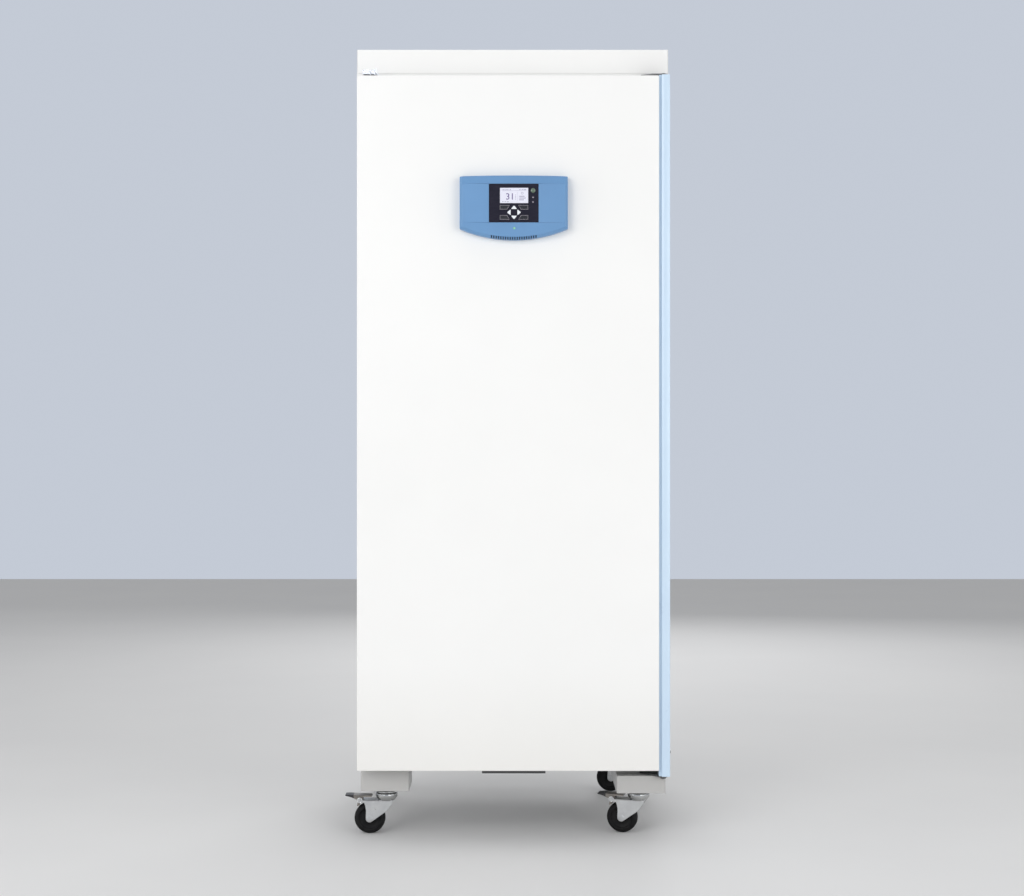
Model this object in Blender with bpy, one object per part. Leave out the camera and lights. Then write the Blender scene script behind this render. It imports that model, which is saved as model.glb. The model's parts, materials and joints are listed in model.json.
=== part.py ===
"""Refrigerated incubator: a tall insulated cabinet on four swivel casters, with one full-height
door hinged at the right. Metres, +Z up, the front faces -Y and the casters stand on z = 0.

Sizes below are read with x = 0 at the middle of the body and y = 0 at the door's front face.
The last step moves the whole model so that its footprint is centred on the origin.
"""

import math

import bmesh
import bpy
from mathutils import Matrix, Vector
from mathutils.geometry import tessellate_polygon

GAP = 0.0003             # between pieces that touch
SHEET = 0.0012           # folded sheet steel
PLATE = 0.003            # hinge plates and caster plates

# Body
BODY_W = 0.745
BODY_D = 0.640
BODY_FRONT = 0.060       # the body's front plane lies this far behind the door's face
BODY_H = 1.724           # body's foot to the crown's top
CROWN_H = 0.057
CROWN_LIP = 0.015
CORNER_R = 0.004         # upright corners of the crown and of the base blocks
SHELL_FLANGE = 0.026     # front return of the shell
REAR_FLANGE = 0.015
PAN_FRONT_H = 0.030
PAN_SIDE_H = 0.012
WALL_SIDE = 0.055        # outer face to chamber
WALL_TOP = 0.060
WALL_BOTTOM = 0.060
WALL_REAR = 0.055
FRAME_T = 0.004
LINER_T = 0.0015
BAY_D = 0.230            # machine bay, at the bottom of the rear
BAY_H = 0.225
BAY_WALL = 0.055
STUD_R = 0.0035
STUD_L = 0.0062
STUD_LIFT = 0.042        # body's foot to the stud
STUD_BEHIND_FRONT = 0.012

# Door
DOOR_T = 0.054
DOOR_LIFT = 0.0093       # body's foot to the door's lower edge
DOOR_DROP = 0.0156       # crown's lower edge to the door's upper edge
DOOR_INSET = 0.0048      # free edge to the body's side
TRIM_INSET = 0.0005      # hinge side to the body's side
TRIM_W = 0.0195
TRIM_GROOVE_W = 0.0066
TRIM_GROOVE_D = 0.0085
TRIM_D = 0.0465
TRIM_SET_BACK = 0.0012
TRIM_CROWN = 0.0016
DOOR_RETURN = 0.034
DOOR_EDGE_R = 0.0025
DOOR_FACE_R = 0.0009
DOOR_LINER_T = 0.002
PLUG_D = 0.020           # raised panel of the door liner, inside the chamber's mouth
PLUG_GAP = 0.0175
PLUG_R = 0.034
PLUG_RIM = 0.030         # width of the raised panel's rim round its dished middle
PLUG_DISH = 0.012
GASKET_W = 0.024
GASKET_OVERLAP = 0.0025  # from the chamber's mouth to the gasket's inner edge

# Hinges
PIVOT_FROM_SIDE = 0.0155
PIVOT_Y = 0.018
PIN_R = 0.004
PIN_L = 0.018
PIN_CLEARANCE = 0.0003
HINGE_NOSE_R = 0.010
HINGE_W = 0.068
HINGE_PLATE_DROP = 0.005 # body's foot to the lower hinge plate, which the door stands on
TOP_PLATE_LIFT = 0.0031  # door top to the upper hinge plate
HINGE_FLANGE_H = 0.0205
NUT_R = 0.0068
NUT_H = 0.0045

# Lock at the free edge, above the door
LOCK_FROM_SIDE = 0.0185
LOCK_W = 0.034
LOCK_T = 0.002
LOCK_H = 0.0095
TONGUE_W = 0.0085
TONGUE_R = 0.0085
TONGUE_T = 0.0022
TONGUE_PIN_R = 0.002
SCREW_R = 0.0026
SCREW_H = 0.0014

# Base blocks and casters
BLOCK_W = 0.116
BLOCK_FROM_SIDE = 0.0090
BLOCK_D = 0.128
BLOCK_H = 0.050
BLOCK_T = 0.0025
HINGE_BLOCK_D = 0.317
HINGE_BLOCK_REACH = 0.027     # how far the hinge-side front block comes out past the body
HINGE_SHELF_D = 0.042
CASTER_X = 0.305
CASTER_FRONT_Y = 0.110
CASTER_PITCH_Y = 0.520
TRAIL_ANGLES = {"front_left": 180.0, "front_right": 166.0, "rear_left": 180.0, "rear_right": 180.0}
WHEEL_R = 0.0375
WHEEL_W = 0.027
WHEEL_SIDES = 28
TRAIL = 0.040
AXLE_R = 0.005
AXLE_CLEARANCE = 0.0003
LEG_GAP = 0.002
LEG_T = 0.0025
WHEEL_TO_FORK = 0.0065   # tyre to the fork's top face
FORK_NECK_H = 0.017
CASTER_PLATE = 0.062
RACE_R = 0.028
RACE_H = 0.0085
PEDAL_U = 0.064
PEDAL_BARREL_R = 0.0062
PEDAL_PIN_R = 0.0025
PEDAL_REACH = 0.0986
PEDAL_RISE = 0.0125
PEDAL_TRAVEL = 15.0           # degrees, from free to pressed
SHOE_CLEARANCE = 0.0004       # shoe to tyre with the pedal pressed

# Under-door plate
FRONT_PLATE_W = 0.152
FRONT_PLATE_DROP = 0.0074
FRONT_PLATE_T = 0.002
FRONT_PLATE_D = 0.045
FRONT_PLATE_SCREW_PITCH = 0.129

# Control housing on the door
HOUSING_X = 0.0026
HOUSING_W = 0.254
HOUSING_DROP = 0.2384         # door's upper edge to the housing's top
HOUSING_TOP_RISE = 0.002
HOUSING_SIDE_H = 0.1262       # height of the straight sides, down to the lower arc
HOUSING_SAG = 0.0258
HOUSING_D = 0.032
HOUSING_EDGE_R = 0.0055
HOUSING_WALL = 0.0025
HOUSING_FLAT_DROP = 0.0214    # housing's top to the flat part of its face
HOUSING_FLAT_H = 0.0914
HOUSING_TOP_FALL = 0.008
HOUSING_BOTTOM_FALL = 0.0055
VENT_COUNT = 20
VENT_PITCH = 0.0055
VENT_W = 0.0026
VENT_H = 0.0062
WINDOW_W = 0.1162
WINDOW_H = 0.0905
WINDOW_T = 0.0012
WINDOW_RECESS = 0.0010
WINDOW_LEDGE = 0.004
LCD_W = 0.066
LCD_H = 0.0356
LCD_D = 0.007
LCD_X = 0.0034
LCD_RISE = 0.0179             # window's middle to the display's
KEY_SET_X = 0.0032
KEY_SET_FALL = 0.0217         # window's middle to the key set's
KEY_PROUD = 0.0006
KEY_TRAVEL = 0.0004
KEY_STEM = 0.0020
KEY_CLEARANCE = 0.0003
SOFT_KEY_W = 0.0232
SOFT_KEY_H = 0.0103
SOFT_KEY_SLANT = 0.0062
SOFT_KEY_OUT = 0.0332
SOFT_KEY_UP = 0.0118
ARROW_W = 0.0122
ARROW_H = 0.0075
ARROW_OUT = 0.0078        # middle of the key set to an arrow's base
LENS_X = 0.0479
LENS_RISE = 0.0297
LENS_R = 0.0055
LAMP_X = 0.0039
LAMP_FALL = 0.0587
LAMP_R = 0.0026
BOARD_T = 0.0016
BOARD_MARGIN = 0.002

# Inside
LADDER_PITCH = 0.150
LADDER_COUNT = 8
LADDER_LIFT = 0.020
LADDER_STRIP_W = 0.018
LADDER_STRIP_T = 0.004
LADDER_DEPTH = 0.370
LADDER_FRONT = 0.060          # chamber mouth to the front upright
RUNNER_W = 0.014
RUNNER_T = 0.003
SHELF_LEVELS = (0, 2, 5)
SHELF_T = 0.005
SHELF_RIM = 0.010
SHELF_SLOTS = 11
SHELF_BAR = 0.004
SHELF_SIDE_GAP = 0.003
DUCT_W = 0.500
DUCT_D = 0.045
DUCT_BOTTOM_LIFT = 0.080
DUCT_TOP_DROP = 0.020
DUCT_SLOTS = 8
DUCT_SLOT_H = 0.010
DUCT_SLOT_W = 0.320
FAN_R = 0.068
FAN_RING_GAP = 0.006
FAN_DROP = 0.130              # duct top to the fan's axis
FAN_BLADES = 5
FAN_HUB_R = 0.018
FAN_LEAD = 0.012              # how far the rotor stands in front of the duct
FAN_MOTOR_SET = 0.010         # duct sheet to the motor's face
FAN_MOTOR_R = 0.026
FAN_BLADE_T = 0.0014
FAN_BLADE_SWEEP = 52.0
HEATER_R = 0.098
HEATER_TUBE_R = 0.0035
PROBE_R = 0.003
PROBE_L = 0.110
EVAPORATOR_W = 0.420
EVAPORATOR_H = 0.620
EVAPORATOR_T = 0.0016
EVAPORATOR_RUNS = 6
COMPRESSOR_R = 0.078
COMPRESSOR_H = 0.150
COMPRESSOR_X = -0.060
COMPRESSOR_FOOT_W = 0.210
COMPRESSOR_FOOT_D = 0.140
COMPRESSOR_FOOT_R = 0.018
COMPRESSOR_MOUNT_R = 0.009
COMPRESSOR_MOUNT_H = 0.016
COMPRESSOR_SEAM = 0.004
TERMINAL_W = 0.056
TERMINAL_H = 0.055
TERMINAL_OUT = 0.038
TRAY_W = 0.190
TRAY_D = 0.130
TRAY_H = 0.026
TRAY_R = 0.010
TRAY_WALL = 0.002
CONDENSER_W = 0.520
CONDENSER_RUNS = 11
CONDENSER_DROP = 0.3167       # shell's top to the highest tube
CONDENSER_TUBE_R = 0.003
CONDENSER_STRIPS = 4
CONDENSER_STAND = 0.016
CONDENSER_LIFT = 0.175        # machine bay's top to the lowest tube
INLET_W = 0.048
INLET_H = 0.030
INLET_D = 0.022

# Lines and planes that follow from the sizes above
HALF_W = BODY_W / 2
BODY_REAR = BODY_FRONT + BODY_D
FORK_TOP = 2 * WHEEL_R + WHEEL_TO_FORK
PEDAL_Z = FORK_TOP
RACE_SPLIT_Z = FORK_TOP + FORK_NECK_H
BLOCK_FOOT = RACE_SPLIT_Z + RACE_H + PLATE
BODY_FOOT = BLOCK_FOOT + BLOCK_H
CROWN_TOP = BODY_FOOT + BODY_H
CROWN_BOTTOM = CROWN_TOP - CROWN_H
DOOR_BOTTOM = BODY_FOOT + DOOR_LIFT
DOOR_TOP = CROWN_BOTTOM - DOOR_DROP
HINGE_PLATE_TOP = BODY_FOOT - HINGE_PLATE_DROP
SHELL_TOP = CROWN_BOTTOM - GAP
BAY_TOP = BODY_FOOT + BAY_H
BAY_FRONT = BODY_REAR - BAY_D
CHAMBER_X = HALF_W - WALL_SIDE
CHAMBER_FLOOR = BODY_FOOT + WALL_BOTTOM
CHAMBER_CEILING = SHELL_TOP - WALL_TOP
CHAMBER_FRONT = BODY_FRONT + FRAME_T + GAP
CHAMBER_REAR = BODY_REAR - WALL_REAR
STEP_FRONT = BAY_FRONT - BAY_WALL
STEP_TOP = BAY_TOP + BAY_WALL
DOOR_LEFT = -HALF_W + DOOR_INSET
TRIM_RIGHT = HALF_W - TRIM_INSET
TRIM_LEFT = TRIM_RIGHT - TRIM_W
DOOR_RIGHT = TRIM_LEFT - TRIM_GROOVE_W
PIVOT_X = HALF_W - PIVOT_FROM_SIDE
TRIM_BOTTOM = HINGE_PLATE_TOP + GAP
TOP_PLATE_Z = DOOR_TOP + TOP_PLATE_LIFT
TRIM_TOP = TOP_PLATE_Z - GAP
HINGE_SHELF_Z = HINGE_PLATE_TOP - PLATE - GAP
LOCK_BOTTOM = DOOR_TOP + TOP_PLATE_LIFT
TONGUE_X = -HALF_W + LOCK_FROM_SIDE + LOCK_W - TONGUE_W * 0.55
TONGUE_Z = LOCK_BOTTOM + LOCK_H * 0.30
HOUSING_FACE = -HOUSING_D
HOUSING_TOP = DOOR_TOP - HOUSING_DROP
HOUSING_SHOULDER = HOUSING_TOP - HOUSING_SIDE_H
HOUSING_FLAT_TOP = HOUSING_TOP - HOUSING_FLAT_DROP
HOUSING_FLAT_BOTTOM = HOUSING_FLAT_TOP - HOUSING_FLAT_H
WINDOW_BACK = HOUSING_FACE + WINDOW_RECESS + WINDOW_T
WINDOW_Z = (HOUSING_FLAT_TOP + HOUSING_FLAT_BOTTOM) / 2
LCD_Z = WINDOW_Z + LCD_RISE
KEY_SET_Z = WINDOW_Z - KEY_SET_FALL
LENS_Z = WINDOW_Z + LENS_RISE
LAMP_Z = WINDOW_Z - LAMP_FALL
BOARD_FRONT = WINDOW_BACK + LCD_D + GAP
DUCT_FRONT = CHAMBER_REAR - DUCT_D
DUCT_TOP = CHAMBER_CEILING - DUCT_TOP_DROP
FAN_Z = DUCT_TOP - FAN_DROP
LADDER_BOTTOM = STEP_TOP + LADDER_LIFT
CONDENSER_BOTTOM = BAY_TOP + CONDENSER_LIFT
CONDENSER_PITCH = (SHELL_TOP - CONDENSER_DROP - CONDENSER_BOTTOM) / (CONDENSER_RUNS - 1)

WHITE = ("white paint", (0.90, 0.90, 0.89), 0.35, 0.0)
LINER_WHITE = ("liner white", (0.86, 0.87, 0.87), 0.30, 0.0)
FOAM = ("insulation foam", (0.80, 0.72, 0.48), 0.95, 0.0)
ZINC = ("zinc plated steel", (0.55, 0.56, 0.56), 0.38, 0.9)
CHROME = ("chrome", (0.72, 0.74, 0.77), 0.12, 1.0)
STEEL = ("stainless steel", (0.60, 0.61, 0.61), 0.30, 1.0)
SEAL = ("seal rubber", (0.70, 0.71, 0.72), 0.75, 0.0)
LIGHT_BLUE = ("light blue profile", (0.62, 0.76, 0.89), 0.35, 0.0)
BLUE = ("blue plastic", (0.17, 0.35, 0.64), 0.42, 0.0)
BLACK = ("black plastic", (0.012, 0.013, 0.018), 0.35, 0.0)
TYRE = ("black rubber", (0.010, 0.010, 0.010), 0.55, 0.0)
DARK_STEEL = ("dark steel", (0.12, 0.12, 0.12), 0.45, 0.7)
DISPLAY = ("display", (0.82, 0.82, 0.86), 0.25, 0.0)
KEY_WHITE = ("key white", (0.85, 0.88, 0.92), 0.45, 0.0)
LENS = ("lens grey green", (0.12, 0.18, 0.12), 0.20, 0.0)
LAMP = ("lamp green", (0.35, 0.85, 0.35), 0.30, 0.0)
BOARD = ("circuit board", (0.02, 0.18, 0.07), 0.50, 0.0)
ALUMINIUM = ("aluminium", (0.68, 0.69, 0.70), 0.40, 0.9)


# Outlines, as lists of points in a plane

def rectangle(u0, v0, u1, v1):
    return [(u0, v0), (u1, v0), (u1, v1), (u0, v1)]


def arc(centre, radius, start, end, steps):
    """Points on an arc from start to end, in degrees."""
    points = []
    for i in range(steps + 1):
        angle = math.radians(start + (end - start) * i / steps)
        u = centre[0] + radius * math.cos(angle)
        points.append((u, centre[1] + radius * math.sin(angle)))
    return points


def circle(centre, radius, steps):
    return arc(centre, radius, 0.0, 360.0, steps)[:-1]


def rounded(u0, v0, u1, v1, radius, steps=4):
    """A rectangle with round corners."""
    points = arc((u1 - radius, v0 + radius), radius, -90, 0, steps)
    points += arc((u1 - radius, v1 - radius), radius, 0, 90, steps)
    points += arc((u0 + radius, v1 - radius), radius, 90, 180, steps)
    points += arc((u0 + radius, v0 + radius), radius, 180, 270, steps)
    return points


def folded(path, thickness):
    """The outline of a sheet folded square along a path, with its thickness on the path's left."""
    turned = []
    for i, point in enumerate(path):
        here = Vector(point)
        into = (here - Vector(path[max(i - 1, 0)])).normalized()
        out = (Vector(path[min(i + 1, len(path) - 1)]) - here).normalized()
        sides = {(round(-d.y, 6), round(d.x, 6)) for d in (into, out) if d.length > 0}
        shift = sum((Vector(side) for side in sides), Vector((0.0, 0.0)))
        turned.append(tuple(here + shift * thickness))
    return list(path) + turned[::-1]


# Solids

def to_space(axis, u, v, w):
    """A point of an outline at (u, v), w along the axis."""
    return {"X": (w, u, v), "Y": (u, w, v), "Z": (u, v, w)}[axis]


def mesh_of(points, faces):
    """A closed mesh with its faces turned outwards."""
    bm = bmesh.new()
    vertices = [bm.verts.new(p) for p in points]
    for face in faces:
        bm.faces.new([vertices[i] for i in face])
    bmesh.ops.recalc_face_normals(bm, faces=bm.faces)
    mesh = bpy.data.meshes.new("piece")
    bm.to_mesh(mesh)
    bm.free()
    return mesh


def prism(outline, axis, low, high, holes=()):
    """An outline, with any holes, drawn out along an axis."""
    rings = [outline, *holes]
    flat = [(u, v) for ring in rings for u, v in ring]
    caps = tessellate_polygon([[Vector((u, v, 0.0)) for u, v in ring] for ring in rings])
    count = len(flat)
    points = [to_space(axis, u, v, w) for w in (low, high) for u, v in flat]
    faces = [tuple(t) for t in caps]
    faces += [tuple(i + count for i in t) for t in caps]
    start = 0
    for ring in rings:
        size = len(ring)
        for i in range(size):
            a, b = start + i, start + (i + 1) % size
            faces.append((a, b, b + count, a + count))
        start += size
    return mesh_of(points, faces)


def block(low, high):
    return prism(rectangle(low[0], low[1], high[0], high[1]), "Z", low[2], high[2])


def turned(profile, axis, centre, steps, start=0.0):
    """A closed (radius, along) profile turned about an axis through centre; it may touch the axis."""
    points = []
    rows = []
    for radius, along in profile:
        row = []
        for i in range(steps if radius > 0 else 1):
            angle = math.radians(start + 360.0 * i / steps)
            u, v = radius * math.cos(angle), radius * math.sin(angle)
            place = Vector(to_space(axis, u, v, along)) + Vector(centre)
            row.append(len(points))
            points.append(tuple(place))
        rows.append(row)
    faces = []
    for here, after in zip(rows, rows[1:] + rows[:1]):
        if len(here) == 1 and len(after) == 1:
            continue
        for i in range(steps):
            j = (i + 1) % steps
            ring = [here[i % len(here)], here[j % len(here)], after[j % len(after)], after[i % len(after)]]
            faces.append(tuple(dict.fromkeys(ring)))
    return mesh_of(points, faces)


def rod(start, end, radius, steps=12, turn=0.0):
    """A round bar between two points."""
    start, end = Vector(start), Vector(end)
    length = (end - start).length
    mesh = turned([(0.0, 0.0), (radius, 0.0), (radius, length), (0.0, length)], "Z", (0, 0, 0), steps, turn)
    way = (end - start).to_track_quat("Z", "Y").to_matrix().to_4x4()
    mesh.transform(Matrix.Translation(start) @ way)
    return mesh


def pipe(path, radius, steps=8, closed=False):
    """A round tube swept along a path that lies in a plane of constant y."""
    count = len(path)
    points = []
    for i, point in enumerate(path):
        before = path[i - 1] if closed or i > 0 else path[i]
        after = path[(i + 1) % count] if closed or i < count - 1 else path[i]
        way = (Vector(after) - Vector(before)).normalized()
        side = Vector((0.0, 1.0, 0.0)).cross(way).normalized()
        for k in range(steps):
            angle = 2 * math.pi * k / steps
            offset = side * math.cos(angle) + Vector((0.0, 1.0, 0.0)) * math.sin(angle)
            points.append(tuple(Vector(point) + offset * radius))
    faces = []
    for i in range(count if closed else count - 1):
        a, b = i * steps, ((i + 1) % count) * steps
        for k in range(steps):
            n = (k + 1) % steps
            faces.append((a + k, a + n, b + n, b + k))
    if not closed:
        faces.append(tuple(range(steps)))
        faces.append(tuple(range((count - 1) * steps, count * steps)))
    return mesh_of(points, faces)


def merged(meshes):
    """Several separate meshes as one, to cut or join in one step."""
    bm = bmesh.new()
    for mesh in meshes:
        bm.from_mesh(mesh)
    whole = bpy.data.meshes.new("pieces")
    bm.to_mesh(whole)
    bm.free()
    return whole


def in_triangles(mesh):
    bm = bmesh.new()
    bm.from_mesh(mesh)
    bmesh.ops.triangulate(bm, faces=bm.faces)
    bm.to_mesh(mesh)
    bm.free()
    return mesh


def boolean(mesh, other, operation):
    """The exact Boolean of two meshes, as a new mesh. Triangles keep bent faces from confusing it."""
    base = bpy.data.objects.new("base", in_triangles(mesh))
    tool = bpy.data.objects.new("tool", in_triangles(other))
    bpy.context.collection.objects.link(base)
    bpy.context.collection.objects.link(tool)
    modifier = base.modifiers.new("boolean", "BOOLEAN")
    modifier.operation = operation
    modifier.solver = "EXACT"
    modifier.object = tool
    graph = bpy.context.evaluated_depsgraph_get()
    result = bpy.data.meshes.new_from_object(base.evaluated_get(graph))
    bpy.data.objects.remove(base)
    bpy.data.objects.remove(tool)
    return result


def cut(mesh, *tools):
    for tool in tools:
        mesh = boolean(mesh, tool, "DIFFERENCE")
    return mesh


def join(mesh, *others):
    for other in others:
        mesh = boolean(mesh, other, "UNION")
    return mesh


def flattened(mesh):
    """The mesh with the seams inside its flat faces taken out."""
    bm = bmesh.new()
    bm.from_mesh(mesh)
    bmesh.ops.dissolve_limit(bm, angle_limit=math.radians(0.2), verts=bm.verts, edges=bm.edges)
    bm.to_mesh(mesh)
    bm.free()
    return mesh


# Finished pieces

materials = {}


def material(finish):
    name, colour, roughness, metallic = finish
    if name not in materials:
        made = bpy.data.materials.new(name)
        made.use_nodes = True
        shader = made.node_tree.nodes["Principled BSDF"]
        shader.inputs["Base Color"].default_value = (*colour, 1.0)
        shader.inputs["Roughness"].default_value = roughness
        shader.inputs["Metallic"].default_value = metallic
        made.diffuse_color = (*colour, 1.0)
        materials[name] = made
    return materials[name]


def piece(name, mesh, finish, carrier, smooth=True):
    """A named object, with its own copy of a finish, carried by an empty on its body's axis."""
    flattened(mesh)
    mesh.name = name
    if smooth:
        mesh.shade_smooth()
        mesh.set_sharp_from_angle(angle=math.radians(32))
    mesh.materials.clear()
    mesh.materials.append(material(finish))
    made = bpy.data.objects.new(name, mesh)
    bpy.context.collection.objects.link(made)
    made.parent = carrier
    made.matrix_parent_inverse = carrier.matrix_world.inverted()
    return made


def soften(made, width, segments=2, angle=50.0):
    """Rounds a piece's edges that are sharper than an angle."""
    bevel = made.modifiers.new("soft edges", "BEVEL")
    bevel.width = width
    bevel.segments = segments
    bevel.limit_method = "ANGLE"
    bevel.angle_limit = math.radians(angle)
    bevel.use_clamp_overlap = True
    return made


def axis_empty(name, place, carrier, turn=0.0):
    """An empty on a joint's axis, which carries what the joint moves."""
    empty = bpy.data.objects.new(name, None)
    empty.empty_display_size = 0.05
    bpy.context.collection.objects.link(empty)
    empty.parent = carrier
    if carrier is not None:
        empty.matrix_parent_inverse = carrier.matrix_world.inverted()
    empty.location = place
    empty.rotation_euler = (0.0, 0.0, math.radians(turn))
    bpy.context.view_layer.update()
    return empty


# Cabinet body

def outer_shell(root):
    """Wrap of side walls and top, with a front and a rear return, and a small stud in its right side."""
    low, high = (-HALF_W, BODY_FRONT, BODY_FOOT), (HALF_W, BODY_REAR, SHELL_TOP)
    inside = HALF_W - SHEET
    below = BODY_FOOT - 0.010
    hollow = block((-inside, BODY_FRONT + SHEET, below), (inside, BODY_REAR - SHEET, SHELL_TOP - SHEET))
    front_x = HALF_W - SHELL_FLANGE
    rear_x = HALF_W - REAR_FLANGE
    middle = BODY_FRONT + BODY_D / 2
    mouth = block((-front_x, BODY_FRONT - 0.010, below), (front_x, middle, SHELL_TOP - SHELL_FLANGE))
    back = block((-rear_x, middle, below), (rear_x, BODY_REAR + 0.010, SHELL_TOP - REAR_FLANGE))
    mesh = cut(block(low, high), hollow, mouth, back)
    stud_y = BODY_FRONT + STUD_BEHIND_FRONT
    stud_z = BODY_FOOT + STUD_LIFT
    stud = rod((HALF_W - SHEET / 2, stud_y, stud_z), (HALF_W + STUD_L, stud_y, stud_z), STUD_R)
    return piece("outer_shell", join(mesh, stud), WHITE, root)


def top_cover(root):
    """The crown: a cover open underneath, with a narrow return that rests on the shell."""
    inner = HALF_W - SHEET
    rest = HALF_W - CROWN_LIP
    below = CROWN_BOTTOM - 0.010
    body = prism(rounded(-HALF_W, BODY_FRONT, HALF_W, BODY_REAR, CORNER_R, 3), "Z", CROWN_BOTTOM, CROWN_TOP)
    hollow = block(
        (-inner, BODY_FRONT + SHEET, CROWN_BOTTOM + SHEET), (inner, BODY_REAR - SHEET, CROWN_TOP - SHEET)
    )
    mouth = block(
        (-rest, BODY_FRONT + CROWN_LIP, below), (rest, BODY_REAR - CROWN_LIP, CROWN_TOP - CROWN_H / 2)
    )
    return piece("top_cover", cut(body, hollow, mouth), WHITE, root)


def base_pan(root):
    """Tray under the body, with a front upstand between the shell's returns."""
    wide = HALF_W - SHEET - GAP
    narrow = HALF_W - SHELL_FLANGE - GAP
    front = BODY_FRONT + SHEET + GAP
    rear = BODY_REAR - SHEET - GAP
    tray = block((-wide, front, BODY_FOOT), (wide, rear, BODY_FOOT + PAN_SIDE_H))
    upstand = block((-narrow, BODY_FRONT, BODY_FOOT), (narrow, front + SHEET, BODY_FOOT + PAN_FRONT_H))
    hollow = block(
        (-wide + SHEET, front + SHEET, BODY_FOOT + SHEET),
        (wide - SHEET, rear - SHEET, BODY_FOOT + PAN_FRONT_H + 0.010),
    )
    return piece("base_pan", cut(join(tray, upstand), hollow), ZINC, root)


def rear_panel(root):
    """Rear sheet that folds forward over the machine bay and down its front wall."""
    rear = BODY_REAR - SHEET - GAP
    side = HALF_W - 2 * (SHEET + GAP)
    path = [
        (BAY_FRONT, BODY_FOOT + SHEET + GAP),
        (BAY_FRONT, BAY_TOP),
        (rear, BAY_TOP),
        (rear, SHELL_TOP - SHEET - GAP),
    ]
    return piece("rear_panel", prism(folded(path, SHEET), "X", -side, side), WHITE, root)


def inner_profile(front, floor, grow):
    """Side outline of the chamber with its step over the machine bay, grown outwards."""
    return [
        (front, floor),
        (front, CHAMBER_CEILING + grow),
        (CHAMBER_REAR + grow, CHAMBER_CEILING + grow),
        (CHAMBER_REAR + grow, STEP_TOP - grow),
        (STEP_FRONT + grow, STEP_TOP - grow),
        (STEP_FRONT + grow, floor),
    ]


def chamber_liner(root):
    outside = prism(
        inner_profile(CHAMBER_FRONT, CHAMBER_FLOOR - LINER_T, LINER_T),
        "X", -CHAMBER_X - LINER_T, CHAMBER_X + LINER_T,
    )
    inside = prism(inner_profile(CHAMBER_FRONT - 0.020, CHAMBER_FLOOR, 0.0), "X", -CHAMBER_X, CHAMBER_X)
    return piece("chamber_liner", cut(outside, inside), LINER_WHITE, root)


def cabinet_insulation(root):
    """Foam between the shell and the liner."""
    side = HALF_W - SHEET - GAP
    top = SHELL_TOP - SHEET - GAP
    rear = BODY_REAR - 2 * SHEET - 2 * GAP
    floor = BODY_FOOT + PAN_SIDE_H + GAP
    outline = [
        (CHAMBER_FRONT, floor),
        (CHAMBER_FRONT, top),
        (rear, top),
        (rear, BAY_TOP + SHEET + GAP),
        (BAY_FRONT - SHEET - GAP, BAY_TOP + SHEET + GAP),
        (BAY_FRONT - SHEET - GAP, floor),
    ]
    grow = LINER_T + GAP
    hollow = prism(
        inner_profile(CHAMBER_FRONT - 0.020, CHAMBER_FLOOR - grow, grow), "X", -CHAMBER_X - grow, CHAMBER_X + grow
    )
    return piece("cabinet_insulation", cut(prism(outline, "X", -side, side), hollow), FOAM, root)


def front_frame(root):
    """Frame round the chamber's mouth, which the door gasket closes on."""
    side = HALF_W - SHELL_FLANGE - GAP
    low = BODY_FOOT + PAN_FRONT_H + GAP
    high = SHELL_TOP - SHELL_FLANGE - GAP
    mouth = rounded(-CHAMBER_X, CHAMBER_FLOOR, CHAMBER_X, CHAMBER_CEILING, 0.003, 2)
    ring = prism(rectangle(-side, low, side, high), "Y", BODY_FRONT, BODY_FRONT + FRAME_T, [mouth])
    return piece("front_frame", ring, LINER_WHITE, root)


# Base blocks, under-door plate and hinges

def caster_mount(name, root, x, y, left, front, depth, shelf=None):
    """Folded block under the body, with a caster's top plate and fixed race bolted below it."""
    top = BODY_FOOT - GAP
    right, rear = left + BLOCK_W, front + depth
    body = prism(rounded(left, front, right, rear, CORNER_R, 3), "Z", BLOCK_FOOT, top)
    if shelf is not None:
        shelf_rear = front + HINGE_SHELF_D
        body = cut(body, block((left - 0.010, front - 0.010, shelf), (right + 0.010, shelf_rear, top + 0.010)))
    hollow_front = front + BLOCK_T if shelf is None else front + HINGE_SHELF_D + BLOCK_T
    hollow = block(
        (left + BLOCK_T, hollow_front, BLOCK_FOOT + BLOCK_T), (right - BLOCK_T, rear - BLOCK_T, top + 0.010)
    )
    half = CASTER_PLATE / 2
    plate_low = BLOCK_FOOT - PLATE
    plate = prism(rounded(x - half, y - half, x + half, y + half, 0.006, 3), "Z", plate_low, BLOCK_FOOT + 0.001)
    race = turned(
        [(0.0, RACE_SPLIT_Z), (RACE_R - 0.0045, RACE_SPLIT_Z), (RACE_R, RACE_SPLIT_Z + 0.003),
         (RACE_R - 0.002, plate_low + 0.001), (0.0, plate_low + 0.001)],
        "Z", (x, y, 0.0), 20,
    )
    return piece(name, join(cut(body, hollow), plate, race), ZINC if shelf else WHITE, root)


def caster_mounts(root):
    left = -HALF_W + BLOCK_FROM_SIDE
    right = HALF_W - BLOCK_FROM_SIDE - BLOCK_W
    rear_y = CASTER_FRONT_Y + CASTER_PITCH_Y
    rear_front = rear_y - BLOCK_D / 2
    reach_front = BODY_FRONT - HINGE_BLOCK_REACH
    caster_mount("caster_mount_front_left", root, -CASTER_X, CASTER_FRONT_Y, left, BODY_FRONT, BLOCK_D)
    caster_mount(
        "caster_mount_front_right", root, CASTER_X, CASTER_FRONT_Y, right, reach_front, HINGE_BLOCK_D, HINGE_SHELF_Z
    )
    caster_mount("caster_mount_rear_left", root, -CASTER_X, rear_y, left, rear_front, BLOCK_D)
    caster_mount("caster_mount_rear_right", root, CASTER_X, rear_y, right, rear_front, BLOCK_D)


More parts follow.
